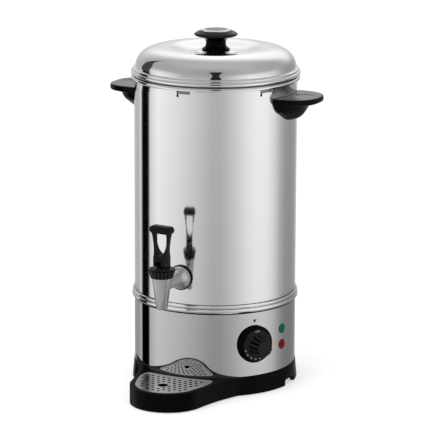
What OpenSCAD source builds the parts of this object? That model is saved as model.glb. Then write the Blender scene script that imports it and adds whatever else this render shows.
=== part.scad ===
// Manual-fill hot water urn with a sprung drip tap, a thermostat dial and a lift-off lid.
// Millimetres, +Z up. The origin is on the tank axis at the level of the feet.
// The tap points along -Y; azimuths run from the tap towards +X.

/* [Tank] */
// Outside radius of the tank and of the steel base shell
tank_r = 110; // [108:0.5:112]
// Sheet thickness of the tank wall
tank_wall = 0.8; // [0.6:0.1:1]
// Height of the underside of the tank floor
tank_floor_z = 122; // [121:0.5:124]
// Height of the top of the rolled rim
rim_z = 420.2; // [420:0.1:420.4]
// Width of the steam slots under the rim
slot_w = 19; // [14:1:22]

/* [Base] */
// Height of the black base moulding
base_h = 26; // [25:0.5:27]
// Skirt radius at the bottom of the moulding
skirt_r = 113; // [112:0.5:115]
// Distance from the tank axis to the centre of the rounded nose
nose_y = 150; // [148:1:152]
// Radius of the rounded nose
nose_r = 50.8; // [50:0.2:52]
// Radius of the hollow flanks between skirt and nose
flank_r = 290; // [250:10:330]
// Height of the steel base shell's top edge
shell_top_z = 116; // [115.5:0.5:117]

/* [Drip grid] */
// Outside radius of the round front of the grid
grid_r = 43.5; // [42:0.5:44]
// Distance between neighbouring drain holes in a column
hole_pitch = 9.6; // [8:0.1:11]
// Distance between the columns of drain holes
column_gap = 7.16; // [6.5:0.02:8]
// Radius of a drain hole
hole_r = 1.75; // [1.2:0.05:2]
// Radius of the finger hole that the grid is lifted by
finger_r = 6.5; // [5:0.5:8]

/* [Lid] */
// Radius of the crest ridge on the lid
ridge_r = 63; // [60:1:66]
// Height of the crest ridge
ridge_z = 457.6; // [457:0.2:458.6]
// Height of the sunk middle of the lid
dish_z = 451; // [450.5:0.5:451.5]

/* [Handles] */
// Distance from the tank axis to the tip of a handle
handle_reach = 152; // [148:1:154]
// Half the width of a handle along the wall
handle_half = 41; // [38:1:43]
// Height of the top face of a handle
handle_z = 400; // [396:1:402]

/* [Tap] */
// Distance from the tank axis to the spout axis
tap_y = 168; // [166:1:170]
// Height of the tap shank's axis
tap_z = 162.6; // [161:0.2:164]
// Width of the lever's top bar
lever_w = 33; // [28:1:36]
// Turn of the lever about the spout's axis
lever_turn = -7.5; // [-15:0.5:15]

/* [Controls] */
// Azimuth of the thermostat dial
dial_az = 53.5; // [50:0.5:56]
// Height of the dial's axis
dial_z = 70; // [68:0.5:72]
// Radius of the dial's skirt
dial_r = 25; // [23:0.5:26]
// Azimuth of the two lamps
lamp_az = 80; // [78:0.5:82]

/* [Hidden] */
$fn = 96;

steel = [0.78, 0.79, 0.8];
satin = [0.68, 0.69, 0.7];
black = [0.07, 0.07, 0.075];
rubber = [0.12, 0.12, 0.13];
silicone = [0.85, 0.84, 0.8];
nylon = [0.86, 0.86, 0.82];
zinc = [0.62, 0.64, 0.65];
eps = 0.01;                                   // overshoot of a cut past a face
run_gap = 0.05;                               // radial clearance of a running fit
free_gap = 0.3;                               // clearance between pieces that move apart

tank_in = tank_r - tank_wall;                 // inside radius of the tank
rim_bead = 2.9;                               // radius of the rolled rim's section
deck_r = skirt_r - 2.4;                       // radius at the top of the moulding
skirt_z = 1;                                  // bottom edge of the moulding
deck_t = 3;                                   // wall and deck thickness of the moulding
shell_in = tank_r - 0.7;                      // inside radius of the steel base shell
plate_z = 4.5;                                // underside of the bottom plate
plate_t = 1.2;                                // its thickness
plate_r = 104;                                // its radius
boss_ring = 99;                               // radius of the ring of screw bosses
rod_ring = 70;                                // radius of the ring of tie rods
foot_ring = 84;                               // radius of the ring of feet
nose_foot_y = 165;                            // distance to the foot under the nose
seat_z = 24;                                  // ledge that the drip grid lies on
well_z = 10;                                  // floor of the drip well
grid_back_r = 221;                            // radius of the grid's hollow back edge
grid_back_y = 116.5;                          // distance from the axis to the middle of that edge
grid_side = [[42, -161], [47.3, -145], [49.8, -133], [50.6, -122], [50, -100]];  // its right-hand edge
pattern_turn = 25.5;                          // turn of the columns of holes
pattern_foot = [6.9, -143.8];                 // centre of one drain hole
finger_at = [-4, -157];                       // centre of the finger hole
pivot_z = 193;                                // lever pin
bonnet_z = 188;                               // top of the bonnet
dial_back = tank_r + 1.6;                     // plane of the dial's back face
plate_top = tank_floor_z - 3;                 // underside of the heat plate
inlet_z = 62;                                 // height of the power inlet
cutout_at = [30, 35];                         // plan position of the boil-dry cut-out

// Places children on the wall: +X to the right, +Y up and +Z outwards, seen from outside.
module outward(az, z, r = 0) {
    rotate([0, 0, az]) translate([0, -r, z]) rotate([90, 0, 0]) children();
}

module ring(r_out, r_in, h) {
    difference() {
        cylinder(h = h, r = r_out);
        translate([0, 0, -eps]) cylinder(h = h + 2 * eps, r = r_in);
    }
}

module hex_nut(across, bore, h) {
    difference() {
        cylinder(h = h, r = across / 2 / cos(30), $fn = 6);
        translate([0, 0, -eps]) cylinder(h = h + 2 * eps, r = bore, $fn = 48);
    }
}

// A round rod that follows a list of points, with a slightly fuller ball at each bend.
module run(points, r) {
    for (i = [0 : len(points) - 2]) {
        step = points[i + 1] - points[i];
        reach = norm(step);
        translate(points[i]) rotate([0, acos(step.z / reach), atan2(step.y, step.x)])
            cylinder(h = reach, r = r, $fn = 24);
        if (i > 0) translate(points[i]) sphere(r = r * 1.12, $fn = 24);
    }
}

// ---- base ----

nose = [0, -nose_y];
flank_foot = 112 * [sin(42), -cos(42)];       // where a flank leaves the skirt
flank_c = circle_meet(nose, flank_r + nose_r, flank_foot, flank_r);

// The right-hand meeting point of two circles.
function circle_meet(p, rp, q, rq) =
    let (v = q - p, d = norm(v), along = (rp * rp - rq * rq + d * d) / (2 * d),
         side = sqrt(rp * rp - along * along), u = v / d)
    p + along * u + side * [u.y, -u.x];

// Outline of the moulding, grown by g.
module base_plan(g = 0) {
    circle(r = deck_r + g);
    translate(nose) circle(r = nose_r + g);
    for (s = [-1, 1]) difference() {
        toward = (flank_c - nose) / norm(flank_c - nose);
        foot = flank_foot * (1 + g / norm(flank_foot));
        knee = nose + (nose_r + g) * toward;
        polygon([[0, 0], [s * foot.x, foot.y], [s * knee.x, knee.y], nose]);
        translate([s * flank_c.x, flank_c.y]) circle(r = flank_r - g, $fn = 180);
    }
}

// Outline of the drip grid, grown by g.
module grid_plan(g = 0) {
    right = [for (p = grid_side) [p.x + g, p.y]];
    intersection() {
        difference() {
            union() {
                translate(nose) circle(r = grid_r + g);
                polygon(concat(right, [for (i = [len(right) - 1 : -1 : 0]) [-right[i].x, right[i].y]]));
            }
            translate([0, grid_back_r - grid_back_y]) circle(r = grid_back_r - g, $fn = 180);
        }
        translate(nose) circle(r = 60 + g);
    }
}

module base_moulding() {
    bosses = [for (a = [45 : 90 : 315]) boss_ring * [cos(a), sin(a)]];
    color(black) difference() {
        union() {
            difference() {
                union() {
                    translate([0, 0, skirt_z]) cylinder(h = base_h - skirt_z, r1 = skirt_r, r2 = deck_r);
                    translate([0, 0, skirt_z]) linear_extrude(base_h - skirt_z) base_plan();
                }
                difference() {
                    linear_extrude(base_h - deck_t) base_plan(-deck_t);
                    translate([0, 0, well_z - 2.5]) linear_extrude(base_h) grid_plan(-1);
                }
                cylinder(h = 2 * base_h, r = 95, center = true);
            }
            translate([0, 0, base_h - 1]) ring(shell_in - 0.1, shell_in - 3.5, 9);
            for (p = bosses) translate([p.x, p.y, plate_z + plate_t])
                cylinder(h = base_h - plate_z - plate_t - 1, r = 5, $fn = 48);
            translate([0, -nose_foot_y, plate_z]) cylinder(h = well_z - plate_z - 1, r = 7, $fn = 48);
        }
        translate([0, 0, well_z]) linear_extrude(base_h) grid_plan(-3.5);
        translate([0, 0, seat_z]) linear_extrude(base_h) grid_plan(0.5);
        for (p = bosses) translate([p.x, p.y, 0]) cylinder(h = 20, r = 1.75, $fn = 48);
        for (s = [-1, 1]) translate([s * skirt_r, 0, 0]) rotate([90, 0, 90])
            linear_extrude(30, center = true)
                polygon([[-15, -1], [15, -1], [13, 7], [11, 8.5], [-11, 8.5], [-13, 7]]);
    }
}

module bottom_plate() {
    color(zinc) translate([0, 0, plate_z]) difference() {
        cylinder(h = plate_t, r = plate_r);
        for (a = [45 : 90 : 315]) rotate(a) translate([boss_ring, 0, -eps])
            cylinder(h = 2, r = 2.2, $fn = 48);
        for (a = [30 : 120 : 270]) rotate(a) translate([rod_ring, 0, -eps])
            cylinder(h = 2, r = 2.7, $fn = 48);
        translate([cutout_at.x, cutout_at.y, -eps]) cylinder(h = 2, r = 4.5, $fn = 48);
        for (x = [-30 : 12 : 30], y = [-52, -40]) translate([x - 1.5, y, -eps]) cube([3, 8, 2]);
    }
}

module bottom_screws() {
    color(zinc) for (a = [45 : 90 : 315]) rotate(a) translate([boss_ring, 0, 0]) difference() {
        union() {
            translate([0, 0, plate_z - 2.4]) cylinder(h = 2.4, r = 3.8, $fn = 48);
            translate([0, 0, plate_z - 1]) cylinder(h = 14, r = 1.75, $fn = 48);
        }
        for (t = [0, 90]) rotate(t) translate([-2.4, -0.5, plate_z - 3]) cube([4.8, 1, 1.8]);
    }
}

module rubber_feet() {
    color(rubber) {
        for (a = [0 : 90 : 270]) rotate(a) translate([foot_ring, 0, 0]) foot();
        translate([0, -nose_foot_y, 0]) foot();
    }
}

module foot() {
    rotate_extrude() polygon([[0, 0], [8, 0], [9, 0.8], [9.6, plate_z], [0, plate_z]]);
}

module base_shell() {
    color(steel) difference() {
        translate([0, 0, base_h]) ring(tank_r, shell_in, shell_top_z - base_h);
        outward(dial_az, dial_z, 90) cylinder(h = 40, r = 4.5, $fn = 48);
        for (s = [-1, 1]) outward(dial_az, dial_z, 90) translate([s * 14, 0, 0])
            cylinder(h = 40, r = 2.1, $fn = 48);
        for (z = lamp_zs) outward(lamp_az, z, 90) cylinder(h = 40, r = 5.1, $fn = 48);
        outward(180, inlet_z, 90) translate([-13.6, -10.1, 0]) cube([27.2, 20.2, 40]);
        for (s = [-1, 1]) outward(180, inlet_z, 90) translate([s * 20, 0, 0])
            cylinder(h = 40, r = 1.6, $fn = 48);
        for (a = [130 : 6 : 154], s = [-1, 1]) outward(s * a, 40, 90) translate([-1.5, 0, 0])
            cube([3, 14, 40]);
    }
}

module joint_band() {
    color(steel) rotate_extrude($fn = 180) difference() {
        union() {
            translate([tank_r + 0.3, shell_top_z + 7.4]) circle(r = 2.6, $fn = 48);
            translate([tank_r + 0.3, shell_top_z + 1.8]) circle(r = 3.1, $fn = 48);
        }
        square([2 * tank_r, 600], center = true);
    }
}

module tie_rods() {
    color(zinc) for (a = [30 : 120 : 270]) rotate(a) translate([rod_ring, 0, skirt_z])
        cylinder(h = tank_floor_z - skirt_z, r = 2.5, $fn = 48);
}

module tie_nuts() {
    color(zinc) for (a = [30 : 120 : 270]) rotate(a) translate([rod_ring, 0, skirt_z])
        hex_nut(8, 2.5, plate_z - skirt_z);
}

// ---- drip grid ----

// True where a drain hole stays clear of the grid's edges and of the finger hole.
function hole_fits(p) =
    let (margin = 8.4)
    (norm(p - nose) < grid_r - margin || (p.y > -nose_y - 4 && abs(p.x) < 50 - margin + (p.y + 130) / 8))
    && norm(p - [0, grid_back_r - grid_back_y]) > grid_back_r + margin / 2
    && norm(p - finger_at) > finger_r + margin / 2;

// Centre of a drain hole in column i; every other column is staggered by half a pitch.
function lattice(i, j) =
    let (t = pattern_turn, along = hole_pitch * (j + i / 2))
    pattern_foot + column_gap * i * [cos(t), sin(t)] + along * [sin(t), -cos(t)];

module drip_grid() {
    color(satin) difference() {
        translate([0, 0, seat_z + free_gap]) union() {
            linear_extrude(1) difference() {
                grid_plan();
                translate(finger_at) circle(r = finger_r, $fn = 64);
                for (i = [-12 : 12], j = [-8 : 8]) if (hole_fits(lattice(i, j)))
                    translate(lattice(i, j)) circle(r = hole_r, $fn = 24);
            }
            linear_extrude(1.8) difference() {
                grid_plan();
                grid_plan(-1.8);
            }
        }
    }
}

// ---- tank ----

module tank() {
    color(steel) difference() {
        rotate_extrude($fn = 180) {
            translate([tank_in, shell_top_z]) square([tank_wall, rim_z - rim_bead - shell_top_z]);
            translate([0, tank_floor_z]) square([tank_in + eps, 1]);
            translate([tank_r + 1.6, rim_z - rim_bead]) circle(r = rim_bead, $fn = 48);
        }
        outward(0, tap_z, 90) cylinder(h = 40, r = 9.2);
        for (k = [0 : 5]) outward(k * 60 - 3.3, 0, 90) {
            translate([0, 410.2, 0]) cube([slot_w, 4.2, 40]);
            translate([0, 405.8, 0]) cube([3, 5, 40]);
        }
        for (s = [-1, 1], b = [-12, 12]) translate([s * 110, b, handle_screw_z]) rotate([0, 90, 0])
            cylinder(h = 30, r = 2.2, center = true, $fn = 48);
    }
}

// ---- lid ----

lid_seat = rim_z + 0.6;                       // bottom of the lid's flange
dome_r = 108.6;                               // radius at the foot of the dome
dome_z = 430.5;                               // height of the foot of the dome
dish_r = 32;                                  // radius of the flat middle
lid_t = 0.8;                                  // sheet thickness

dome_line = [for (t = [0 : 6 : 90])
    [ridge_r + (dome_r - ridge_r) * pow(cos(t), 2 / 3), dome_z + (ridge_z - dome_z) * sin(t)]];
dish_line = [for (k = [1 : 10])
    [ridge_r + (dish_r - ridge_r) * k / 10, dish_z + (ridge_z - dish_z) * (1 + cos(18 * k)) / 2]];
lid_line = concat([[dome_r, lid_seat]], dome_line, dish_line, [[0, dish_z]]);

// A line of points moved inwards, square to its own run.
function inset_line(line, t) = [for (i = [0 : len(line) - 1])
    let (a = line[max(i - 1, 0)], b = line[min(i + 1, len(line) - 1)], u = (b - a) / norm(b - a))
    [max(0, line[i].x - t * u.y), line[i].y + t * u.x]];

module lid() {
    inner = inset_line(lid_line, lid_t);
    color(steel) difference() {
        rotate_extrude($fn = 180) {
            polygon(concat(lid_line, [for (i = [len(inner) - 1 : -1 : 0]) inner[i]]));
            translate([111.8, 427.2]) circle(r = 2.75, $fn = 48);
            translate([112.6, lid_seat + 1.9]) circle(r = 1.9, $fn = 48);
            translate([dome_r - lid_t, lid_seat]) square([112.6 - dome_r + lid_t, 3]);
            translate([dome_r - lid_t, lid_seat]) square([112.2 - dome_r + lid_t, 7.4]);
            translate([107.4, 408]) square([0.8, lid_seat - 407]);
        }
        cylinder(h = 1000, r = 2.7, $fn = 48);
    }
}

module knob_plate() {
    color(steel) rotate_extrude()
        polygon([[2.7, dish_z], [29, dish_z], [28.4, dish_z + 0.8], [20, dish_z + 1.6], [2.7, dish_z + 1.6]]);
}

knob_z = dish_z + 1.6;                        // foot of the knob
knob_top = 479.6;                             // seat of the knob's ring

module lid_knob() {
    color(black) difference() {
        rotate_extrude() polygon([[0, knob_z], [17.6, knob_z], [19, 453.9], [18.7, 455.3], [16.6, 456.9],
            [14.2, 458.7], [13.2, 461], [13.4, 463.6], [14.8, 466.4], [17.6, 468.8], [22, 470.6],
            [26.5, 471.8], [29, 473], [29.3, 474.2], [28.4, 475.6], [25.6, 477.2], [22.6, 478.7],
            [21, knob_top], [0, knob_top]]);
        cylinder(h = 468, r = 2.5, $fn = 48);
    }
}

module knob_ring() {
    color(steel) rotate_extrude() polygon([[15.2, knob_top], [20.8, knob_top], [20.6, knob_top + 0.8],
        [19.8, knob_top + 1.3], [16.3, knob_top + 1.3], [15.2, knob_top + 0.9]]);
}

module knob_disc() {
    color([0.25, 0.25, 0.26]) rotate_extrude()
        polygon([[0, knob_top], [15.2, knob_top], [15.2, knob_top + 0.7], [9, knob_top + 1],
            [0, knob_top + 1.1]]);
}

module knob_washer() {
    color(silicone) translate([0, 0, dish_z - lid_t - 1]) ring(8, 2.7, 1);
}

module knob_screw() {
    head_z = dish_z - lid_t - 1;
    color(zinc) difference() {
        union() {
            translate([0, 0, head_z - 3.3]) cylinder(h = 3.3, r = 4.5, $fn = 48);
            translate([0, 0, head_z - 1]) cylinder(h = 468 - head_z + 1, r = 2.5, $fn = 48);
        }
        for (t = [0, 90]) rotate(t) translate([-3, -0.6, head_z - 4]) cube([6, 1.2, 2.4]);
    }
}

// ---- handles ----

handle_t = 8.5;                               // thickness of the grip
handle_c = 105;                               // distance to the middle of the cup
cup_r = 27.5;                                 // outside radius of the cup
cup_h = 26;                                   // its depth under the grip
cheek_gap = 6;                                // the cup spreads sideways in steps this wide
cheek_rise = 4.5;                             // and is this much shallower at each step
hollow_r = 23.6;                              // radius of the hollow in the cup
dish_at = 129;                                // distance to the middle of the thumb dish
handle_screw_z = 377;                         // height of the handle screws

// A quarter of a rounded curve from [a, 0] to [0, -b].
function quarter(a, b, n) = [for (t = [0 : 7.5 : 90]) [a * pow(cos(t), 2 / n), -b * pow(sin(t), 2 / n)]];

module cup(a, b) {
    translate([handle_c, 0, handle_z - handle_t]) rotate_extrude()
        polygon(concat([[0, eps], [a, eps]], quarter(a, b, 2.4)));
}

module handle_blank() {
    color(black) difference() {
        union() {
            translate([0, 0, handle_z - handle_t]) linear_extrude(handle_t)
                polygon(concat([for (t = [-90 : 5 : 90])
                    [handle_c + (handle_reach - handle_c) * pow(cos(t), 2 / 2.6),
                     handle_half * sign(t) * pow(abs(sin(t)), 2 / 2.6)]],
                    [[98, handle_half], [98, -handle_half]]));
            difference() {
                union() {
                    cup(cup_r, cup_h);
                    for (k = [1, 2], s = [-1, 1]) translate([0, s * k * cheek_gap, 0])
                        cup(cup_r, cup_h - k * cheek_rise);
                    translate([handle_c, 0, handle_z - handle_t - 9]) rotate_extrude()
                        polygon([[20, 0], [27, 0], [28.5, 3], [32, 6], [36, 9 + eps], [20, 9 + eps]]);
                }
                cup(hollow_r, cup_h - 4);
            }
            intersection() {
                cup(cup_r - 1, cup_h - 1);
                translate([100, -24, handle_z - 40]) cube([15, 48, 27]);
            }
        }
        translate([dish_at, 0, handle_z - 1.2]) cylinder(h = 1.2 + eps, r1 = 10, r2 = 17);
        cylinder(h = 1000, r = tank_r, $fn = 180);
        for (b = [-12, 12]) translate([100, b, handle_screw_z]) rotate([0, 90, 0])
            cylinder(h = 14.5, r = 2, $fn = 48);
    }
}

module handle_right() {
    handle_blank();
}

module handle_left() {
    mirror([1, 0, 0]) handle_blank();
}

module handle_screws() {
    color(zinc) for (s = [0, 180], b = [-12, 12]) rotate(s) translate([0, b, handle_screw_z])
        rotate([0, 90, 0]) difference() {
            union() {
                translate([0, 0, 104]) cylinder(h = 2.8, r = 4, $fn = 48);
                translate([0, 0, 105]) cylinder(h = 9.5, r = 2, $fn = 48);
            }
            for (t = [0, 90]) rotate(t) translate([-2.4, -0.5, 103]) cube([4.8, 1, 2.6]);
        }
}

module handle_washers() {
    color(silicone) intersection() {
        for (s = [-1, 1], b = [-12, 12]) translate([s * 106.8, b, handle_screw_z]) rotate([0, s * 90, 0])
            ring(6, 2, 3);
        cylinder(h = 1000, r = tank_in, $fn = 180);
    }
}

// ---- tap ----

spout_z = 133;                                // mouth of the spout
collar_z = 175.8;                             // top of the cone
neck_z = 181;                                 // top of the neck inside the bonnet
bore_z = 146;                                 // foot of the valve seat
chamber_r = 9.5;                              // radius of the valve chamber
shank_end = 88;                               // inner end of the threaded shank
flange_y = 112.6;                             // outer face of the seal

// Places children on the spout axis.
module at_spout() {
    translate([0, -tap_y, 0]) children();
}

module tap_body() {
    color(satin) difference() {
        union() {
            at_spout() rotate_extrude() polygon([[0, spout_z], [7, spout_z], [7.6, spout_z + 0.6],
                [13.3, collar_z - 1], [13.3, collar_z], [11.5, collar_z], [11.5, neck_z], [0, neck_z]]);
            outward(0, tap_z) rotate_extrude() polygon([[0, shank_end], [9, shank_end], [9, flange_y],
                [17, flange_y], [17, 113.6], [14, 115.4], [11.2, 119], [9.4, 124.5], [8.4, 132], [7.9, 142],
                [7.7, 160], [0, 160]]);
        }
        at_spout() {
            translate([0, 0, spout_z - 1]) cylinder(h = bore_z - spout_z + 2, r = 5, $fn = 64);
            translate([0, 0, bore_z]) cylinder(h = 4.5, r1 = 5, r2 = chamber_r, $fn = 64);
            translate([0, 0, bore_z + 4.4]) cylinder(h = 40, r = chamber_r, $fn = 64);
        }
        outward(0, tap_z, shank_end - 1) cylinder(h = tap_y - shank_end, r = 5.5, $fn = 64);
    }
}

module tap_seal() {
    color(rubber) difference() {
        outward(0, tap_z, 106) ring(17.6, 9, flange_y - 106);
        cylinder(h = 1000, r = tank_r, $fn = 180);
    }
}

module tap_inner_washer() {
    color(silicone) intersection() {
        outward(0, tap_z, 105) ring(15, 9, 6);
        cylinder(h = 1000, r = tank_in, $fn = 180);
    }
}

module tap_nut() {
    color(satin) outward(0, tap_z, 98) hex_nut(26, 9, 7);
}

module tap_bonnet() {
    color(black) at_spout() difference() {
        rotate_extrude() polygon([[11.5, collar_z], [14.2, collar_z], [14.9, collar_z + 0.8],
            [17.8, bonnet_z - 2], [17.5, bonnet_z - 0.8], [16.4, bonnet_z], [2.5 + run_gap, bonnet_z],
            [2.5 + run_gap, neck_z], [11.5, neck_z]]);
        for (a = [0 : 15 : 345]) rotate(a) translate([18.1, 0, 170]) cylinder(h = 15.4, r = 1.1, $fn = 24);
    }
}

spring_foot = 153.9;                          // underside of the spring
spring_h = neck_z - spring_foot;              // its height
spring_turns = 6;                             // number of turns
wire_span = 108;                              // angle that the wire's section covers

module tap_spring() {
    arc = [for (t = [0 : 18 : wire_span]) [cos(t), sin(t)]];
    color(zinc) at_spout() translate([0, 0, spring_foot])
        linear_extrude(spring_h, twist = -360 * spring_turns, slices = 18 * spring_turns, $fn = 12)
            polygon(concat(6.6 * arc, [for (i = [len(arc) - 1 : -1 : 0]) 5.4 * arc[i]]));
}

module tap_stem() {
    color(black) on_lever() difference() {
        translate([0, 0, 149]) cylinder(h = pivot_z + 3.5 - 149, r = 2.5, $fn = 64);
        translate([0, 0, pivot_z]) rotate([0, 90, 0])
            cylinder(h = 20, r = 1.5 + run_gap, center = true, $fn = 48);
    }
}

module seat_cup() {
    color(silicone) at_spout() rotate_extrude() polygon([[0, bore_z - 0.4], [4.4, bore_z - 0.4],
        [8.7, bore_z + 3.8], [8.7, 153.4], [2.5, 153.4], [2.5, 149], [0, 149]]);
}

lever_foot = bonnet_z + free_gap;             // underside of the lever
lever_neck = 206.5;                           // top of the lever's block
bar_z = 235;                                  // underside of the top bar
bar_h = 10;                                   // height of the top bar
lever_swing = 30;                             // angle that the lever can be pulled through
block_w = 16;                                 // width of the lever's block
block_d = 17.5;                               // its depth from front to back
fork_w = 7.6;                                 // width of the fork's slot
window_half = 9.4;                            // half the width of the window

// Places children on the spout axis, turned with the lever.
module on_lever() {
    at_spout() rotate(lever_turn) children();
}

// Extrudes an outline drawn in the lever's XZ plane from y0 to y1.
module front_slab(y0, y1) {
    translate([0, y1, 0]) rotate([90, 0, 0]) linear_extrude(y1 - y0) children();
}

foot_reach = pivot_z - lever_foot;            // from the pin to the underside of the lever
// Height of the front end of the foot's slope.
foot_cut = pivot_z + (block_d / 2 * sin(lever_swing) - foot_reach) / cos(lever_swing);

// Side view of the lever, drawn in YZ: the front is at negative Y, and the foot is cut so that it can swing.
module side_slab(w) {
    front = [[-block_d / 2, foot_cut], for (k = [6 : -1 : 0]) let (t = lever_swing * k / 6)
        [-foot_reach * sin(t), pivot_z - foot_reach * cos(t)]];
    translate([-w / 2, 0, 0]) rotate([90, 0, 90]) linear_extrude(w)
        polygon(concat(front, [[block_d / 2, lever_foot], [block_d / 2, lever_neck - 3], [6.4, 212], [4, 222],
            [3.6, 230], [4.6, bar_z + 1], [-4.6, bar_z + 1], [-3.6, 230], [-4, 222], [-6.4, 212],
            [-block_d / 2, lever_neck - 3]]));
}

module tap_lever() {
    color(black) on_lever() difference() {
        union() {
            intersection() {
                side_slab(40);
                front_slab(-20, 20) difference() {
                    polygon([[-block_w / 2, lever_foot - 1], [block_w / 2, lever_foot - 1],
                        [block_w / 2, 209], [9.2, 216], [11, 223], [13.4, bar_z + 1],
                        [-13.4, bar_z + 1], [-11, 223], [-9.2, 216], [-block_w / 2, 209]]);
                    polygon(concat([[window_half, bar_z], [-window_half, bar_z]],
                        [for (t = [180 : 12 : 360]) [window_half * cos(t) * (1 - 0.06 * abs(sin(t))),
                            220 + 15 * sin(t)]]));
                }
            }
            front_slab(-5, 5) {
                for (s = [-1, 1]) translate([s * (lever_w - bar_h) / 2, bar_z + bar_h / 2])
                    circle(r = bar_h / 2, $fn = 64);
                translate([(bar_h - lever_w) / 2, bar_z]) square([lever_w - bar_h, bar_h]);
            }
        }
        front_slab(-20, 20) translate([-fork_w / 2, lever_foot - 1]) square([fork_w, 10.5]);
        translate([0, 0, pivot_z]) rotate([0, 90, 0]) cylinder(h = 40, r = 1.5, center = true, $fn = 48);
    }
}

module lever_pin() {
    color(steel) on_lever() translate([0, 0, pivot_z]) rotate([0, 90, 0])
        cylinder(h = block_w - 0.6, r = 1.5, center = true, $fn = 48);
}

// ---- controls ----

lamp_zs = [60.6, 82.4];                       // heights of the red and the green lamp
flutes = 12;                                  // finger flutes round the dial's grip
flute_r = 2.4;                                // radius of a flute

module thermostat_dial() {
    color(black) outward(dial_az, dial_z, dial_back) difference() {
        rotate_extrude() polygon([[0, 0], [dial_r, 0], [dial_r, 5.2], [dial_r - 1.2, 6.6], [15.5, 7.2],
            [13.6, 8.6], [11.4, 24.5], [10.4, 26], [0, 26]]);
        for (a = [0 : 360 / flutes : 359]) rotate(a) translate([14.5, 0, 9]) rotate([0, -7, 0])
            cylinder(h = 30, r = flute_r, $fn = 32);
        translate([0, 0, -eps]) cylinder(h = 14, r = 3, $fn = 48);
    }
}

module thermostat_spindle() {
    color(steel) outward(dial_az, dial_z, 94) cylinder(h = dial_back + 13.9 - 94, r = 3, $fn = 48);
}

module thermostat_body() {
    color(nylon) outward(dial_az, dial_z, 82) difference() {
        union() {
            cylinder(h = 22, r = 17);
            translate([-19, -5, 22]) cube([38, 10, 3.4]);
            for (s = [-1, 1]) translate([s * 8 - 3, -0.4, -9]) cube([6, 0.8, 10]);
        }
        translate([0, 0, 11]) cylinder(h = 20, r = 3 + run_gap, $fn = 48);
        for (s = [-1, 1]) translate([s * 14, 0, 16]) cylinder(h = 20, r = 1.6, $fn = 48);
    }
}

module thermostat_screws() {
    color(zinc) for (s = [-1, 1]) outward(dial_az, dial_z, 98) translate([s * 14, 0, 0]) {
        cylinder(h = 12, r = 1.6, $fn = 48);
        translate([0, 0, 11.5]) cylinder(h = 1.3, r = 3.4, $fn = 48);
    }
}

module thermostat_sensor() {
    start = 82.2 * [sin(dial_az), -cos(dial_az), 0] + [0, 0, dial_z + 12];
    color([0.72, 0.42, 0.28]) {
        run([start, [54, -40, 90], [42, -24, 104], [32, -18, 115.9], [23, -18, 115.9]], 0.8);
        translate([24, -18, 115.9]) rotate([0, -90, 0]) cylinder(h = 44, r = 3, $fn = 48);
    }
}

module lamp(z) {
    outward(lamp_az, z) {
        translate([0, 0, 92]) cylinder(h = tank_r - 91, r = 5, $fn = 48);
        translate([0, 0, tank_r]) rotate_extrude($fn = 48)
            polygon([[0, 0], [6.9, 0], [6.9, 0.8], [6.1, 1.2], [5.6, 3], [3.4, 4.2], [0, 4.6]]);
        for (s = [-1, 1]) translate([s * 2.5 - 1.2, -0.4, 84]) cube([2.4, 0.8, 9]);
    }
}

module lamp_green() {
    color([0.02, 0.45, 0.28]) lamp(lamp_zs[1]);
}

module lamp_red() {
    color([0.62, 0.05, 0.05]) lamp(lamp_zs[0]);
}

module lamp_clips() {
    color(nylon) for (z = lamp_zs) outward(lamp_az, z, 107.2) ring(8, 5, 1.8);
}

// ---- heater and wiring ----

module heat_plate() {
    color([0.75, 0.75, 0.76]) translate([0, 0, plate_top]) difference() {
        cylinder(h = 3, r = 64);
        translate([0, 0, -eps]) linear_extrude(1.5) square([60, 8], center = true);
    }
}

element_r = 48;                               // radius of the heating ring
element_gap = 40;                             // angle left open between its ends

module heating_element() {
    color([0.35, 0.33, 0.32]) {
        translate([0, 0, plate_top - 3]) rotate(90 + element_gap / 2)
            rotate_extrude(angle = 360 - element_gap) translate([element_r, 0]) difference() {
                circle(r = 3.8, $fn = 48);
                translate([-5, 3]) square([10, 5]);
            }
        for (s = [-1, 1]) rotate(90 + s * element_gap / 2) translate([element_r, 0, 0]) {
            translate([0, 0, plate_top - 9]) cylinder(h = 9, r = 4.6, $fn = 48);
            translate([0, 0, 102]) cylinder(h = 13, r = 2.2, $fn = 48);
            translate([-3, -0.4, 93]) cube([6, 0.8, 10]);
        }
    }
}

module cutout_body() {
    color([0.2, 0.2, 0.22]) translate([cutout_at.x, cutout_at.y, plate_z + plate_t]) difference() {
        union() {
            cylinder(h = 22, r = 11, $fn = 64);
            for (s = [-1, 1]) translate([-0.4, s * 6 - 3, 21]) cube([0.8, 6, 9]);
        }
        translate([0, 0, -eps]) cylinder(h = 6, r = 3.4, $fn = 48);
    }
}

module reset_button() {
    color([0.7, 0.1, 0.08]) translate([cutout_at.x, cutout_at.y, 2]) {
        cylinder(h = 7, r = 3, $fn = 48);
    }
}

module cutout_sensor() {
    color([0.72, 0.42, 0.28]) {
        run([[cutout_at.x - 8, cutout_at.y, 27.6], [16, 32, 60], [16, 24, 100], [14, 14, 115.9],
            [7, 14, 115.9]], 0.8);
        translate([8, 14, 115.9]) rotate([0, -90, 0]) cylinder(h = 30, r = 3, $fn = 48);
    }
}

block_at = [-34, 30];                         // plan position of the terminal block

module terminal_block() {
    color(nylon) translate([block_at.x - 20, block_at.y - 9, plate_z + plate_t]) difference() {
        cube([40, 18, 14]);
        for (i = [0 : 2]) translate([7 + 13 * i, 9, 6]) cylinder(h = 9, r = 3, $fn = 32);
        for (i = [0 : 2]) translate([7 + 13 * i, -1, 5]) rotate([-90, 0, 0])
            cylinder(h = 20, r = 2, $fn = 32);
    }
}

wire_r = 1.4;                                 // radius of an insulated wire
pin_x = [-7, 0, 7];                           // inlet pins, seen from outside
tail_y = 81;                                  // where the wires leave the inlet

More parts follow.
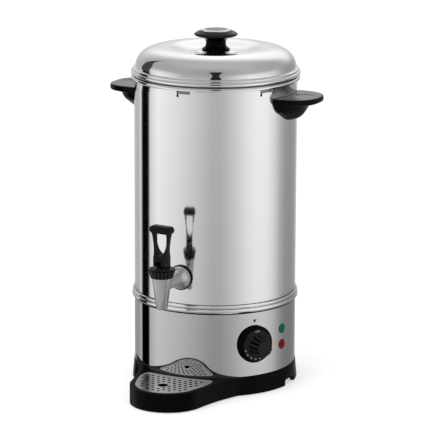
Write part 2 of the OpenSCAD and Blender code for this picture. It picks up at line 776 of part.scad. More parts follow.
module wire_live() {
    color([0.35, 0.18, 0.1]) {
        run([[pin_x[2], tail_y, inlet_z - 2], [5, 66, 40], [-19, 50, 18], [block_at.x + 13, 41, 10.7],
            [block_at.x + 13, 35, 10.7]], wire_r);
        run([[block_at.x + 13, 25, 10.7], [block_at.x + 13, 8, 12], [0, -8, 24], [40, -26, 56],
            dial_tab(-1)], wire_r);
    }
}

module wire_switched() {
    tab = [cutout_at.x, cutout_at.y - 6, plate_z + plate_t + 29.6];
    color([0.1, 0.1, 0.1]) {
        run([dial_tab(1), [56, -20, 60], [36, 6, 52], tab], wire_r);
        run([tab + [0, 12, 0], [26, 46, 60], [17, 45.5, 84], [16.42, 45.1, 93.6]], wire_r);
    }
}

module wire_neutral() {
    color([0.1, 0.25, 0.55]) {
        run([[pin_x[0], tail_y, inlet_z - 2], [-22, 68, 44], [-44, 54, 20], [block_at.x, 41, 10.7],
            [block_at.x, 35, 10.7]], wire_r);
        run([[block_at.x, 25, 10.7], [block_at.x, 12, 14], [-38, 20, 50], [-24, 40, 84],
            [-16.42, 45.1, 93.6]], wire_r);
    }
}

module wire_earth() {
    color([0.3, 0.6, 0.15]) {
        run([[pin_x[1], tail_y, inlet_z + 2], [-9, 66, 34], [-38, 64, 14], [block_at.x - 13, 41, 10.7],
            [block_at.x - 13, 35, 10.7]], wire_r);
        run([[block_at.x - 13, 25, 10.7], [block_at.x - 13, 8, 12], [-50, -14, 12],
            [-50, -24.6, 10.8]], wire_r);
    }
}

// The end of one of the thermostat's tabs.
function dial_tab(s) = let (a = dial_az)
    [72.6 * sin(a) + 8 * s * cos(a), -72.6 * cos(a) + 8 * s * sin(a), dial_z];

module earth_stud() {
    color([0.8, 0.65, 0.3]) translate([-50, -30, plate_z + plate_t]) {
        cylinder(h = 10, r = 2, $fn = 48);
        translate([0, 0, 3.1]) ring(5, 2, 1.2);
        translate([0, 0, 4.3]) hex_nut(7, 2, 3.2);
        cylinder(h = 3.1, r = 4, $fn = 6);
    }
}

module power_inlet() {
    color(black) outward(180, inlet_z, 84) difference() {
        union() {
            translate([-13.5, -10, 0]) cube([27, 20, 28]);
            translate([-24, -12, 26.6]) cube([48, 24, 2.4]);
        }
        translate([-12, -8.2, 9]) cube([24, 16.4, 30]);
        for (s = [-1, 1]) translate([s * 20, 0, 27.7]) cylinder(h = 4, r = 3.2, $fn = 48);
        for (s = [-1, 1]) translate([s * 20, 0, 20]) cylinder(h = 20, r = 1.6, $fn = 48);
        for (i = [0 : 2]) translate([-pin_x[i] - 1, (i == 1 ? 2 : -2) - 2, -1]) cube([2, 4, 12]);
    }
}

module inlet_gasket() {
    color(rubber) difference() {
        outward(180, inlet_z, 100) difference() {
            translate([-24, -12, 0]) cube([48, 24, 10.6]);
            translate([-13.5, -10, -1]) cube([27, 20, 20]);
            for (s = [-1, 1]) translate([s * 20, 0, -1]) cylinder(h = 20, r = 1.6, $fn = 48);
        }
        cylinder(h = 1000, r = tank_r, $fn = 180);
    }
}

module inlet_pins() {
    color([0.8, 0.7, 0.4]) outward(180, inlet_z, 81) for (i = [0 : 2])
        translate([-pin_x[i] - 1, (i == 1 ? 2 : -2) - 2, 0]) cube([2, 4, 24.5]);
}

module inlet_screws() {
    color(zinc) for (s = [-1, 1]) outward(180, inlet_z, 100) translate([s * 20, 0, 0]) {
        cylinder(h = 12, r = 1.6, $fn = 48);
        translate([0, 0, 11.7]) cylinder(h = 1.3, r = 3, $fn = 48);
        translate([0, 0, 4.9]) ring(3.4, 1.6, 1.6);
    }
}

base_moulding();
bottom_plate();
bottom_screws();
rubber_feet();
base_shell();
tank();
joint_band();
tie_rods();
tie_nuts();
drip_grid();
lid();
knob_plate();
lid_knob();
knob_ring();
knob_disc();
knob_washer();
knob_screw();
handle_left();
handle_right();
handle_screws();
handle_washers();
tap_body();
tap_seal();
tap_inner_washer();
tap_nut();
tap_bonnet();
tap_spring();
tap_stem();
seat_cup();
tap_lever();
lever_pin();
thermostat_dial();
thermostat_spindle();
thermostat_body();
thermostat_screws();
thermostat_sensor();
lamp_green();
lamp_red();
lamp_clips();
heat_plate();
heating_element();
cutout_body();
reset_button();
cutout_sensor();
terminal_block();
wire_live();
wire_switched();
wire_neutral();
wire_earth();
earth_stud();
power_inlet();
inlet_gasket();
inlet_pins();
inlet_screws();
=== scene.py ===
# %% [markdown]
# # Dressing a hot water urn
# The solid parts of the urn arrive as a fixed frame: every part already sits where it belongs, in metres.
# This lesson gives them their looks. Mirror-bright steel shows every flat facet, so the turned steel parts
# are modelled again as smooth pieces. Moulded parts are copied and get eased edges, and everything gets a
# material.

# %% Load the frame
import bpy
from math import acos, atan2, cos, degrees, pi, radians, sin, sqrt
from mathutils import Matrix, Vector


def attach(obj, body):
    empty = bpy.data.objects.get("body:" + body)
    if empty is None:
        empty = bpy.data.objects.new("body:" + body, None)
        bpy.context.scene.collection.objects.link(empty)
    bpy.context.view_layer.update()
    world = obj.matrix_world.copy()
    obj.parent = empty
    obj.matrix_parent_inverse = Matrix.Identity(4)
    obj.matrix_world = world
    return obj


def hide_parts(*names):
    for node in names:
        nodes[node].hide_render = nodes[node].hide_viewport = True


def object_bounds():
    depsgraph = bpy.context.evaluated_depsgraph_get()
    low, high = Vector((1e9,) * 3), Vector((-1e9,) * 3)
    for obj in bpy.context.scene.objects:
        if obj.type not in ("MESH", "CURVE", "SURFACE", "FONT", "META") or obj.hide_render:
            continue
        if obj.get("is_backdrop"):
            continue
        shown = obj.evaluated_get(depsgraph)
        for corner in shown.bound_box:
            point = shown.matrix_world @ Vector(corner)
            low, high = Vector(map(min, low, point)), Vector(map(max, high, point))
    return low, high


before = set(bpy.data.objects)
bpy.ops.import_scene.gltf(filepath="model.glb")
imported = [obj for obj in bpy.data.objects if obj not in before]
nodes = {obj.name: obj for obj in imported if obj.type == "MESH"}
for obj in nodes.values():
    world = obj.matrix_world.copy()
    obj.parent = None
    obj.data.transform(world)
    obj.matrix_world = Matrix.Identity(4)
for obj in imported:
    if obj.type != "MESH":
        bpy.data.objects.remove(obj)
frame_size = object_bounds()
bpy.ops.object.select_all(action="DESELECT")
print("solids in the frame:", len(nodes), "box:", frame_size)

# %% [markdown]
# ## Camera
# Seen from far away through a long lens, the urn's sides stay nearly upright. The camera stands a little over
# three and a half metres off, turned from the tap towards the dial, and looks down by 13 degrees.

# %% Place the camera
MM = 0.001
CAMERA_TURN = 24.5                      # degrees from the tap towards the dial
CAMERA_ROLL = 0.2175                    # degrees
CAMERA_PLACE = Vector((1.4683, -3.2219, 1.0383))
CAMERA_AIM = Vector((0, 0, 0.2241))


def looking(at, aim):
    """The matrix of a camera or lamp that stands at one point and looks at another."""
    return Matrix.Translation(at) @ (aim - at).to_track_quat("-Z", "Y").to_matrix().to_4x4()


camera = bpy.data.objects.new("camera", bpy.data.cameras.new("camera"))
bpy.context.collection.objects.link(camera)
camera.matrix_world = looking(CAMERA_PLACE, CAMERA_AIM) @ Matrix.Rotation(radians(CAMERA_ROLL), 4, "Z")
camera.data.sensor_width = 36
camera.data.lens = 222.77
camera.data.shift_x = -0.0006
camera.data.clip_end = 100
bpy.context.scene.camera = camera
bpy.context.scene.view_settings.view_transform = "Standard"
print("camera distance in metres:", round((CAMERA_AIM - CAMERA_PLACE).length, 3))

# %% [markdown]
# ## Shader sums written as Python
# A material is a net of nodes. Wiring it by hand for forty finishes would be long, so one small class wraps a
# node's output: adding or multiplying two of them places a Math node and returns its output. The reflected
# forms let a number stand first, as in 1 - mask. Any other node comes from one function.

# %% Wrap a node's output so that it can be used in sums
class Wire:
    """The output of a shader node, which can be used in sums."""

    def __init__(self, tree, socket):
        self.tree, self.socket = tree, socket

    def math(self, operation, other=0.0, flip=False):
        """A Math node on this wire and another wire or number; flip puts the other one first."""
        first, second = (other, self) if flip else (self, other)
        return place(self.tree, "ShaderNodeMath", {"operation": operation}, {0: first, 1: second})

    def __add__(self, other):
        return self.math("ADD", other)

    def __mul__(self, other):
        return self.math("MULTIPLY", other)

    def __sub__(self, other):
        return self.math("SUBTRACT", other)

    def __rsub__(self, other):
        return self.math("SUBTRACT", other, flip=True)

    def __truediv__(self, other):
        return self.math("DIVIDE", other)

    def __rtruediv__(self, other):
        return self.math("DIVIDE", other, flip=True)

    __radd__, __rmul__ = __add__, __mul__

    def sibling(self, name):
        """Another output of the node that this wire comes from."""
        return Wire(self.tree, self.socket.node.outputs[name])


def place(tree, kind, settings=None, inputs=None, output=0):
    """Adds one node: its settings first, then its sockets' values or links. Returns the wanted output."""
    node = tree.nodes.new(kind)
    for name, value in (settings or {}).items():
        if name == "stops":
            ramp = node.color_ramp
            while len(ramp.elements) < len(value):
                ramp.elements.new(0.5)
            for stop, (at, colour) in zip(ramp.elements, value):
                stop.position, stop.color = at, colour
        else:
            setattr(node, name, value)
    for name, value in (inputs or {}).items():
        if isinstance(value, Wire):
            tree.links.new(value.socket, node.inputs[name])
        else:
            node.inputs[name].default_value = value
    return Wire(tree, node.outputs[output])


print("reflected operators of a wire:", [name for name in vars(Wire) if name.startswith("__r")])

# %% [markdown]
# Most finishes here follow one plan: soft noise, a colour and a roughness that run with it, and a weak bump.
# A second class holds that plan, so that each finish is a few lines. Its noise reads Object coordinates,
# which keep a pattern still on the piece when the piece moves.

# %% Gather what every finish needs
FACTOR, LOW, HIGH, RESULT = 0, 6, 7, 2  # the sockets of a Mix node that belong to colours


def mixed(tree, mask, low, high):
    """A colour that runs from low to high with the mask."""
    return place(tree, "ShaderNodeMix", {"data_type": "RGBA"}, {FACTOR: mask, LOW: low, HIGH: high}, RESULT)


def grey(value):
    return (value, value, value, 1)


class Finish:
    """A material under construction."""

    def __init__(self, name):
        self.material = bpy.data.materials.new(name)
        self.material.use_nodes = True
        self.tree = self.material.node_tree
        self.tree.nodes.clear()
        self.out = self.tree.nodes.new("ShaderNodeOutputMaterial")
        self.where = self.node("ShaderNodeTexCoord", output="Object")

    def node(self, *wanted, **more):
        return place(self.tree, *wanted, **more)

    def noise(self, scale, detail=2.0, stretch=(1, 1, 1), rough=0.5):
        """Soft random blotches; a number below 1 in stretch draws them out into streaks along that axis."""
        vector = self.node("ShaderNodeMapping", None, {"Vector": self.where, "Scale": stretch})
        return self.node("ShaderNodeTexNoise", None,
                         {"Vector": vector, "Scale": scale, "Detail": detail, "Roughness": rough})

    def bump(self, height, strength, distance):
        return self.node("ShaderNodeBump", None,
                         {"Height": height, "Strength": strength, "Distance": distance})

    def show(self, shader):
        """Links a shader to the output and hands the material over."""
        self.tree.links.new(shader.socket, self.out.inputs["Surface"])
        return self.material

    def glow(self, colour, strength=1.0):
        return self.show(self.node("ShaderNodeEmission", None, {"Color": colour, "Strength": strength}))

    def surface(self, **inputs):
        """Ends a finish with the surface shader; an underscore in a name stands for a space."""
        named = {key.replace("_", " "): value for key, value in inputs.items()}
        return self.show(self.node("ShaderNodeBsdfPrincipled", None, named))


print("what a finish can add:", [name for name in vars(Finish) if not name.startswith("_")])

# %% [markdown]
# ## Metals
# Polished sheet steel is a mirror with a trace of haze: very low roughness, broken by faint cloudy polishing
# marks. Satin parts were brushed or turned, so their grain runs one way: a noise drawn out along one axis
# gives the streaks, and the same streaks feed a weak bump.

# %% Make the metal finishes
HAZE_BUMP, GRAIN_BUMP = 0.00003, 0.0001 # metres
EVEN, UPRIGHT = (1, 1, 1), (1, 1, 0.1)  # a grain without a direction, and one that runs up and down


def polished_metal(name, tone, rough=0.06):
    """Mirror steel of one grey tone."""
    f = Finish(name)
    clouds = f.noise(9, detail=3)
    hair = f.noise(24, stretch=(1, 1, 6))
    return f.surface(
        Base_Color=mixed(f.tree, clouds, grey(tone - 0.02), grey(tone + 0.02)), Metallic=1.0,
        Roughness=rough + 0.02 * clouds + 0.01 * hair, Normal=f.bump(hair, 0.02, HAZE_BUMP))


def brushed_metal(name, colour, rough, stretch, strength=0.12, scale=260, depth=0.86):
    """Metal with a grain, whose lows have the colour times depth."""
    f = Finish(name)
    grain = f.noise(scale, detail=5, stretch=stretch, rough=0.7)
    clouds = f.noise(40, detail=3)
    dark = tuple(depth * c for c in colour) + (1,)
    return f.surface(
        Base_Color=mixed(f.tree, 0.6 * grain + 0.4 * clouds, dark, (*colour, 1)), Metallic=1.0,
        Roughness=rough + 0.12 * grain - 0.04 * clouds, Normal=f.bump(grain, strength, GRAIN_BUMP))


steel_mirror = polished_metal("polished_steel", 0.82)
steel_wall = polished_metal("rolled_steel", 0.82, 0.085)
steel_shell = polished_metal("shell_steel", 0.82, 0.03)
silver_ring = polished_metal("ring_steel", 0.86, 0.1)
steel_satin = brushed_metal("satin_metal", (0.62, 0.62, 0.63), 0.17, (1, 1, 0.06), 0.06, 420, depth=0.62)
steel_grid = brushed_metal("grid_steel", (0.58, 0.58, 0.59), 0.2, (0.04, 1, 1), 0.05)
# A dark steel for the lid's collar, as painted shade in the gap under the lid.
collar_painted_shade_steel = brushed_metal("dull_steel", (0.30, 0.30, 0.31), 0.4, UPRIGHT, 0.05)
steel_dark = brushed_metal("blackened_steel", (0.05, 0.05, 0.055), 0.35, EVEN, 0.05)
steel_rod = brushed_metal("steel_rod", (0.66, 0.66, 0.67), 0.25, UPRIGHT)
zinc = brushed_metal("zinc_steel", (0.62, 0.64, 0.66), 0.34, EVEN, 0.1, 120)
copper = brushed_metal("copper", (0.78, 0.42, 0.27), 0.3, (1, 1, 0.2), 0.08)
aluminium = brushed_metal("cast_aluminium", (0.68, 0.68, 0.69), 0.42, EVEN, 0.35, 500)
sheath = brushed_metal("element_sheath", (0.3, 0.27, 0.25), 0.45, EVEN, 0.2, 300)
brass = brushed_metal("brass", (0.78, 0.6, 0.28), 0.28, UPRIGHT, 0.08)
cap_metal = brushed_metal("knob_cap", (0.2, 0.2, 0.205), 0.34, (1, 0.08, 1), 0.15, 420)
print("metals:", len(bpy.data.materials))

# %% [markdown]
# ## Plastics and rubber
# Moulded black plastic is never one flat black: a fine spark-eroded grain breaks its gloss, and broad clouds
# vary the sheen. The same recipe with other numbers gives rubber, nylon and wire jackets. Where a black part
# would mirror too much of a bright room, its specular level is low, as on a matt texture.

# %% Make the moulded finishes
def moulded(name, colour, rough, grain=0.1, scale=1400, lift=1.5, shine=0.5):
    """Plastic or rubber, whose light specks have the colour times lift."""
    f = Finish(name)
    fine = f.noise(scale)
    clouds = f.noise(30, detail=3)
    light = tuple(min(1, lift * c) for c in colour) + (1,)
    return f.surface(
        Base_Color=mixed(f.tree, 0.5 * fine + 0.5 * clouds, (*colour, 1), light),
        Roughness=rough + 0.06 * clouds + 0.04 * fine, Normal=f.bump(fine, grain, GRAIN_BUMP),
        Specular_IOR_Level=shine)


plastic_black = moulded("black_plastic", (0.0015, 0.0015, 0.0016), 0.14, 0.02, lift=1.6, shine=0.06)
hole_painted_shade = moulded("hole_shade", (0.0015, 0.0015, 0.0015), 0.5, 0.02, shine=0.0)
plastic_grip = moulded("grip_plastic", (0.003, 0.003, 0.0032), 0.2, 0.04, shine=0.25)
# A lighter, glossier black for the tops of the handles, as painted sheen.
handle_top_painted_sheen = moulded("handle_top_plastic", (0.003, 0.003, 0.0032), 0.12, 0.04, shine=0.32)
plastic_deck = moulded("deck_plastic", (0.002, 0.002, 0.0021), 0.3, 0.04, shine=0.02)
plastic_dial = moulded("dial_plastic", (0.009, 0.009, 0.0105), 0.3, 0.05, lift=1.6, shine=0.12)
plastic_rib = moulded("rib_plastic", (0.011, 0.011, 0.0115), 0.3, 0.05, shine=0.15)
plastic_lever = moulded("lever_plastic", (0.006, 0.006, 0.0063), 0.26, 0.05, shine=0.07)
rubber = moulded("black_rubber", (0.02, 0.02, 0.021), 0.6, 0.3, 800)
silicone = moulded("silicone", (0.72, 0.7, 0.65), 0.45, 0.05, 600, 1.1)
nylon = moulded("white_nylon", (0.74, 0.74, 0.7), 0.4, 0.08, 900, 1.08)
phenolic = moulded("phenolic", (0.03, 0.03, 0.033), 0.38, 0.1, 700)
button_red = moulded("red_button", (0.5, 0.03, 0.025), 0.35, 0.05, 900, 1.2)
jackets = {name: moulded(name, colour, 0.4, 0.05, 900, 1.3) for name, colour in (
    ("brown_wire", (0.12, 0.05, 0.025)), ("black_wire", (0.02, 0.02, 0.02)),
    ("blue_wire", (0.02, 0.09, 0.35)), ("green_wire", (0.06, 0.32, 0.05)))}
print("materials so far:", len(bpy.data.materials))

# %% [markdown]
# The lamp lenses are clear coloured plastic over a dark hole. Seen from outside that is a deep, slightly
# cloudy tone under a hard gloss, which an opaque shader gives as well. The printed marks are thin matt ink.

# %% Make the lamp lenses and the printed marks
def lens(name, deep, bright):
    f = Finish(name)
    swirl = f.noise(160)
    return f.surface(Base_Color=mixed(f.tree, swirl, (*deep, 1), (*bright, 1)), Roughness=0.1 + 0.04 * swirl,
                     Specular_IOR_Level=0.12, Normal=f.bump(swirl, 0.02, GRAIN_BUMP))


lens_green = lens("green_lens", (0.0, 0.07, 0.035), (0.0, 0.19, 0.1))
lens_red = lens("red_lens", (0.12, 0.002, 0.003), (0.28, 0.006, 0.008))
lens_painted_shade = lens("dark_lens", (0.004, 0.012, 0.01), (0.01, 0.02, 0.018))
ink_white = moulded("white_ink", (0.42, 0.42, 0.42), 0.5, 0.05, 2000, 1.2)
ink_maroon = moulded("maroon_ink", (0.11, 0.008, 0.02), 0.45, 0.05, 2000, 1.3)
print("materials in all:", len(bpy.data.materials))

# %% [markdown]
# ## First moves
# An operator acts on whatever is selected, so every piece starts with all deselected and one new primitive.
# Every piece ends in the same way too: its place goes into its mesh, and it gets a material and the body that
# it moves with.

# %% Write the helpers that every piece uses
WELD = 0.000002                         # metres; points closer than this are one point


def begin(name, add, **shape):
    """Adds a primitive with nothing else selected, and names it."""
    bpy.ops.object.select_all(action="DESELECT")
    add(**shape)
    bpy.context.object.name = name
    return bpy.context.object


def only(piece):
    """Makes a piece the one selected, active object."""
    bpy.ops.object.select_all(action="DESELECT")
    piece.select_set(True)
    bpy.context.view_layer.objects.active = piece


def edit_all(piece):
    """Opens a piece in edit mode with its whole mesh selected."""
    only(piece)
    bpy.ops.object.mode_set(mode="EDIT")
    bpy.ops.mesh.select_all(action="SELECT")


def edit_done():
    """Leaves edit mode."""
    bpy.ops.object.mode_set(mode="OBJECT")


def pull(x, y, z):
    """Extrudes what is selected by a step in millimetres."""
    bpy.ops.mesh.extrude_region_move(TRANSFORM_OT_translate={"value": (x * MM, y * MM, z * MM)})


def face_outwards():
    """Makes all normals of the open mesh agree, and leaves it selected."""
    bpy.ops.mesh.select_all(action="SELECT")
    bpy.ops.mesh.normals_make_consistent(inside=False)


def settle(piece):
    """Puts the piece's place into its mesh, so that its object sits at the origin."""
    only(piece)
    bpy.ops.object.transform_apply(location=True, rotation=True, scale=True)


def smoothed(piece, angle):
    """Shades a piece smooth, apart from edges that are sharper than the angle in degrees."""
    only(piece)
    bpy.ops.object.shade_smooth_by_angle(angle=radians(angle))


def dress(piece, material, slot, body):
    """Gives a finished piece its material and the body that it rides on; the slot is not used."""
    piece.data.materials.clear()
    piece.data.materials.append(material)
    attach(piece, body)
    print(piece.name, "faces:", len(piece.data.polygons))


print("points weld within", WELD / MM, "mm")

# %% [markdown]
# ## Turning a profile
# Every steel part of the tank was spun or rolled, so it is round about the axis. The quickest way to such a
# shape is to draw half its section as a chain of points and spin the chain. A single vertex is pulled out
# from point to point with extrude, then spin closes the turn, doubles are merged and the normals made to
# agree.

# %% Write the helper that turns a closed section
def turned(name, section, material, slot, body, turns=224, centre=(0, 0), angle=35):
    """Spins a section of (radius, height) points in millimetres about an upright axis.
    A section that starts and ends on the axis is closed by its poles, any other one by an edge."""
    cx, cy = centre
    start = ((cx + section[0][0]) * MM, cy * MM, section[0][1] * MM)
    piece = begin(name, bpy.ops.mesh.primitive_plane_add, size=MM, location=start)
    settle(piece)
    edit_all(piece)
    bpy.ops.mesh.merge(type="CENTER")
    for a, b in zip(section, section[1:]):
        pull(b[0] - a[0], 0, b[1] - a[1])
    bpy.ops.mesh.select_all(action="SELECT")
    if section[0][0] > 0 or section[-1][0] > 0:
        bpy.ops.mesh.edge_face_add()
        bpy.ops.mesh.delete(type="ONLY_FACE")
        bpy.ops.mesh.select_all(action="SELECT")
    bpy.ops.mesh.spin(steps=turns, angle=2 * pi, center=(cx * MM, cy * MM, 0), axis=(0, 0, 1))
    bpy.ops.mesh.select_all(action="SELECT")
    bpy.ops.mesh.remove_doubles(threshold=WELD)
    face_outwards()
    edit_done()
    smoothed(piece, angle)
    dress(piece, material, slot, body)
    return piece


def arc(cr, cz, r, start, end, count):
    """Points on a circle about (cr, cz), from one angle to another in degrees."""
    return [(cr + r * cos(radians(start + (end - start) * k / count)),
             cz + r * sin(radians(start + (end - start) * k / count))) for k in range(count + 1)]


def eased_line(points, count=6):
    """A smooth curve through a chain of points, with count steps between two of them."""
    ends = [points[0], *points, points[-1]]
    line = []
    for p0, p1, p2, p3 in zip(ends, ends[1:], ends[2:], ends[3:]):
        for k in range(count):
            t = k / count
            line.append(tuple(0.5 * (2 * b + (c - a) * t + (2 * a - 5 * b + 4 * c - d) * t * t
                              + (3 * b - a - 3 * c + d) * t ** 3) for a, b, c, d in zip(p0, p1, p2, p3)))
    return line + [points[-1]]


print("points on a quarter of a rim:", len(arc(0, 0, 1, 0, 90, 9)))

# %% [markdown]
# ## Tank
# The tank is a rolled cylinder with a welded floor. Its open rim is curled outwards into a bead. The whole
# wall, rim and floor make one closed section, so the tank also looks right from inside when the lid is off.

# %% Turn the tank
TANK_R, TANK_IN = 110, 109.2            # outside and inside of the wall
JOINT_Z, RIM_Z = 116, 416.9             # where the tank stands on the base shell, and the middle of its rim

tank_section = (
    [(0, 122), (106.5, 122), (108.6, 121.2), (TANK_IN, 119.5), (TANK_IN, JOINT_Z), (TANK_R, JOINT_Z),
     (TANK_R, 125), (TANK_R, 270), (TANK_R, 404), (TANK_R, 414.4)]
    + arc(111.4, RIM_Z, 2.7, -120, 140, 26)
    + [(TANK_IN, 417), (TANK_IN, 404), (TANK_IN, 270), (TANK_IN, 127)]
    + arc(105.2, 127, 4, 0, -90, 8) + [(0, 123)])
tank = turned("tank_wall", tank_section, steel_wall, "polished_steel", "urn", 256)

# %% [markdown]
# Below the rim the tank has six punched L-shaped steam slots. A boolean modifier cuts them in two passes:
# first the long arms, then the short legs below them, each a ring of boxes.

# %% Cut the steam slots
SLOTS, SLOT_TURN = 6, -3.3
LONG_ARM = ((0, -125, 410.2), (19, -100, 414.2))
SHORT_LEG = ((0, -125, 405.8), (3, -100, 410.8))


def box(low, high):
    """A box between two corners in millimetres, as a cutter."""
    centre = [(a + b) / 2 * MM for a, b in zip(low, high)]
    piece = begin("cutter", bpy.ops.mesh.primitive_cube_add, size=1, location=centre)
    piece.scale = [(b - a) * MM for a, b in zip(low, high)]
    settle(piece)
    return piece


def joined(pieces):
    """Several meshes made one object."""
    only(pieces[0])
    for piece in pieces:
        piece.select_set(True)
    bpy.ops.object.join()
    return pieces[0]


def cut(piece, cutter):
    """Takes a cutter out of a piece and throws the cutter away."""
    only(piece)
    modifier = piece.modifiers.new("cut", "BOOLEAN")
    modifier.operation, modifier.object, modifier.solver = "DIFFERENCE", cutter, "EXACT"
    bpy.ops.object.modifier_apply(modifier="cut")
    bpy.data.objects.remove(cutter)


def turned_about_axis(piece, turn):
    """Turns a cutter about the tank's axis, with the turn kept in its mesh."""
    piece.matrix_world = Matrix.Rotation(radians(turn), 4, "Z") @ piece.matrix_world
    settle(piece)
    return piece


for arm in (LONG_ARM, SHORT_LEG):
    cut(tank, joined([turned_about_axis(box(*arm), 360 / SLOTS * k + SLOT_TURN) for k in range(SLOTS)]))
smoothed(tank, 30)
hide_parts("tank")
print("tank faces after the slots:", len(tank.data.polygons))

# %% [markdown]
# ## Joint band
# Two rolled beads hide the joint between the tank and the base shell. Only their outer halves show, so each
# is an arc closed by a straight back that lies just inside the wall.

# %% Turn the two beads
BEAD_R, BEAD_BACK = 110.3, 109.95
UPPER, LOWER = (123.4, 2.6), (117.8, 3.1)   # height and radius of each bead


def bead(name, z, radius):
    """An arc of a circle, spun; lean is the angle at which its ends meet the straight back."""
    lean = degrees(acos((BEAD_BACK - BEAD_R) / radius))
    return turned(name, arc(BEAD_R, z, radius, -lean, lean, 28), steel_mirror, "polished_steel", "urn")


upper_bead = bead("joint_bead_upper", *UPPER)
lower_bead = bead("joint_bead_lower", *LOWER)
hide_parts("joint_band")
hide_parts("joint_band")
print("mm that the lower bead stands out:", round(lower_bead.dimensions.x / 2 / MM - TANK_R, 2))

# %% [markdown]
# Dark hairlines of shade show above, between and below the beads, and set the bright beads off from the
# bright walls. One thin black turned ring behind both beads gives all three, as painted shade.

# %% Turn the black ring of painted shade behind the beads
shade_ring_section = [(109.9, 113.1), (110.5, 113.2), (110.6, 114.4), (110.4, 116), (110.2, 119.6), (111.4, 120.5),
                (111.4, 121.2), (110.2, 122), (110.4, 125.6), (110.4, 126.5), (109.9, 126.6)]
# Painted shade: a black ring stands for the dark crevices at the joint.
turned("joint_seal", shade_ring_section, plastic_black, "black_rubber", "urn", 192)

# %% [markdown]
# ## Base shell
# The base shell is a plain ring of sheet, turned like the tank. At the rear it has upright vents on both
# sides and a square hole for the power inlet. All are cut in one pass, before the shell is smoothed again.

# %% Turn the base shell and cut its vents
SHELL_IN, SHELL_FOOT = 109.3, 26
VENT = ((-1.5, -125, 40), (1.5, -100, 54))
INLET_HOLE = ((-13.6, 100, 51.9), (13.6, 125, 72.1))

shell_section = [(SHELL_IN, SHELL_FOOT), (TANK_R, SHELL_FOOT), (TANK_R, 36), (TANK_R, 58), (TANK_R, JOINT_Z),
                 (SHELL_IN, JOINT_Z), (SHELL_IN, 58), (SHELL_IN, 36)]
shell = turned("base_shell_wall", shell_section, steel_shell, "polished_steel", "urn", 256)
cutters = [turned_about_axis(box(*VENT), side * turn) for turn in range(130, 155, 6) for side in (-1, 1)]
print("vents in the shell:", len(cutters))
cutters.append(box(*INLET_HOLE))
cut(shell, joined(cutters))
smoothed(shell, 30)
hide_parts("base_shell")
print("shell faces:", len(shell.data.polygons))

# %% [markdown]
# ## Lid
# The lid is pressed from one sheet: a steep dome outside, a ridge, and a sunk middle that carries the knob.
# Its edge is curled into two beads. Even steps along the curve keep the reflections smooth, so the dome's
# points are spaced by their own run and not by height.

# %% Turn the lid
SHEET = 0.8
RIDGE_R, DOME_RUN, DOME_FOOT, DOME_RISE, DOME_STEPS = 63, 45.6, 430.5, 27.1, 40
DISH_RUN, DISH_Z, DISH_DROP, DISH_STEPS = 31, 451, 6.6, 24


def dome(step):
    """A point of the dome; step runs from 0 at the foot to 1 at the ridge."""
    out = 1 - step * step
    return (RIDGE_R + DOME_RUN * out, DOME_FOOT + DOME_RISE * sqrt(1 - out ** 3))


dome_line = [dome(k / DOME_STEPS) for k in range(DOME_STEPS + 1)]
dish_line = [(RIDGE_R - DISH_RUN * k / DISH_STEPS, DISH_Z + DISH_DROP * (1 + cos(pi * k / DISH_STEPS)) / 2)
             for k in range(1, DISH_STEPS + 1)]
outside = [(108.6, 428.3)] + dome_line + dish_line + [(0, DISH_Z)]
# On the steep part the sheet lies inwards of the outer face, and on the flatter part below it.
inside = [(r - SHEET, z - 0.3) if k < 12 else (r, z - SHEET) for k, (r, z) in enumerate(dome_line)]
under = [(0, 450.2), (32, 450.2)] + [(r, z - SHEET) for r, z in dish_line[-2::-1]] + inside[::-1]
curl = ([(107.8, 428), (108.2, 421.3), (111.6, 421.3)] + arc(111.9, 423.9, 2.6, -85, 58, 20)
        + arc(110.2, 427.9, 2.2, -38, 150, 22) + [(109.0, 428.3)])
lid = turned("lid_dome", under + curl + outside, steel_mirror, "polished_steel", "lid", 256)
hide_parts("lid")

# %% [markdown]
# A lip under the lid finds the inside of the tank's rim and keeps the lid centred. It is a plain turned
# collar with fewer steps. Its steel is dark, as painted shade in the gap between the lid's curl and the
# tank's rim.

# %% Turn the collar under the lid
collar_section = [(107.4, 408), (108.2, 408), (108.2, 421), (107.9, 427), (107.5, 427), (107.4, 420.6)]
collar = turned("lid_collar", collar_section, collar_painted_shade_steel, "polished_steel", "lid", 192)
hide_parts("lid")

# %% [markdown]
# ## Knob
# The knob is one black moulding: a narrow waist under a broad cap. It stands on a polished plate, and a
# bright ring with a grey brushed inlay closes its top. A smooth curve through a few points gives the soft
# outlines.

# %% Turn the knob and its top
KNOB_FOOT, KNOB_TOP = 452.6, 479.6

knob_line = eased_line([
    (17.8, KNOB_FOOT), (18.9, 453.6), (18.4, 454.8), (16.2, 456.2), (14.4, 457.9), (13.6, 460.4),
    (13.6, 463.6), (14.4, 466.4), (17.0, 468.8), (21.6, 470.5), (26.3, 471.7), (29, 473), (29.3, 474.2),
    (28.4, 475.6), (25.6, 477.2), (22.6, 478.7), (21, KNOB_TOP)])
knob_section = [(0, KNOB_FOOT)] + knob_line + [(0, KNOB_TOP)]
knob = turned("knob_body", knob_section, plastic_black, "black_plastic", "lid", 96, angle=50)
ring_line = eased_line([(15.2, 480.5), (16.3, 480.8), (18, 480.86), (19.8, 480.8), (20.6, 480.4),
                        (20.8, KNOB_TOP)])
ring = turned("knob_bright_ring", ring_line + [(15.2, KNOB_TOP)], silver_ring, "polished_steel", "lid", 96)
cap_line = eased_line([(15.15, 480.3), (14.6, 480.45), (9, 480.6), (0, 480.7)])
cap = turned("knob_inlay", cap_line + [(0, KNOB_TOP), (15.15, KNOB_TOP)], cap_metal, "knob_cap", "lid", 96)
plate_section = [(0, DISH_Z), (29, DISH_Z), (28.9, 451.5), (28.2, 451.9), (20, KNOB_FOOT), (0, KNOB_FOOT)]
plate = turned("knob_foot_plate", plate_section, steel_mirror, "polished_steel", "lid", 96)
for piece, node in ((knob, "lid_knob"), (ring, "knob_ring"), (cap, "knob_disc"), (plate, "knob_plate")):
    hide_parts(node)
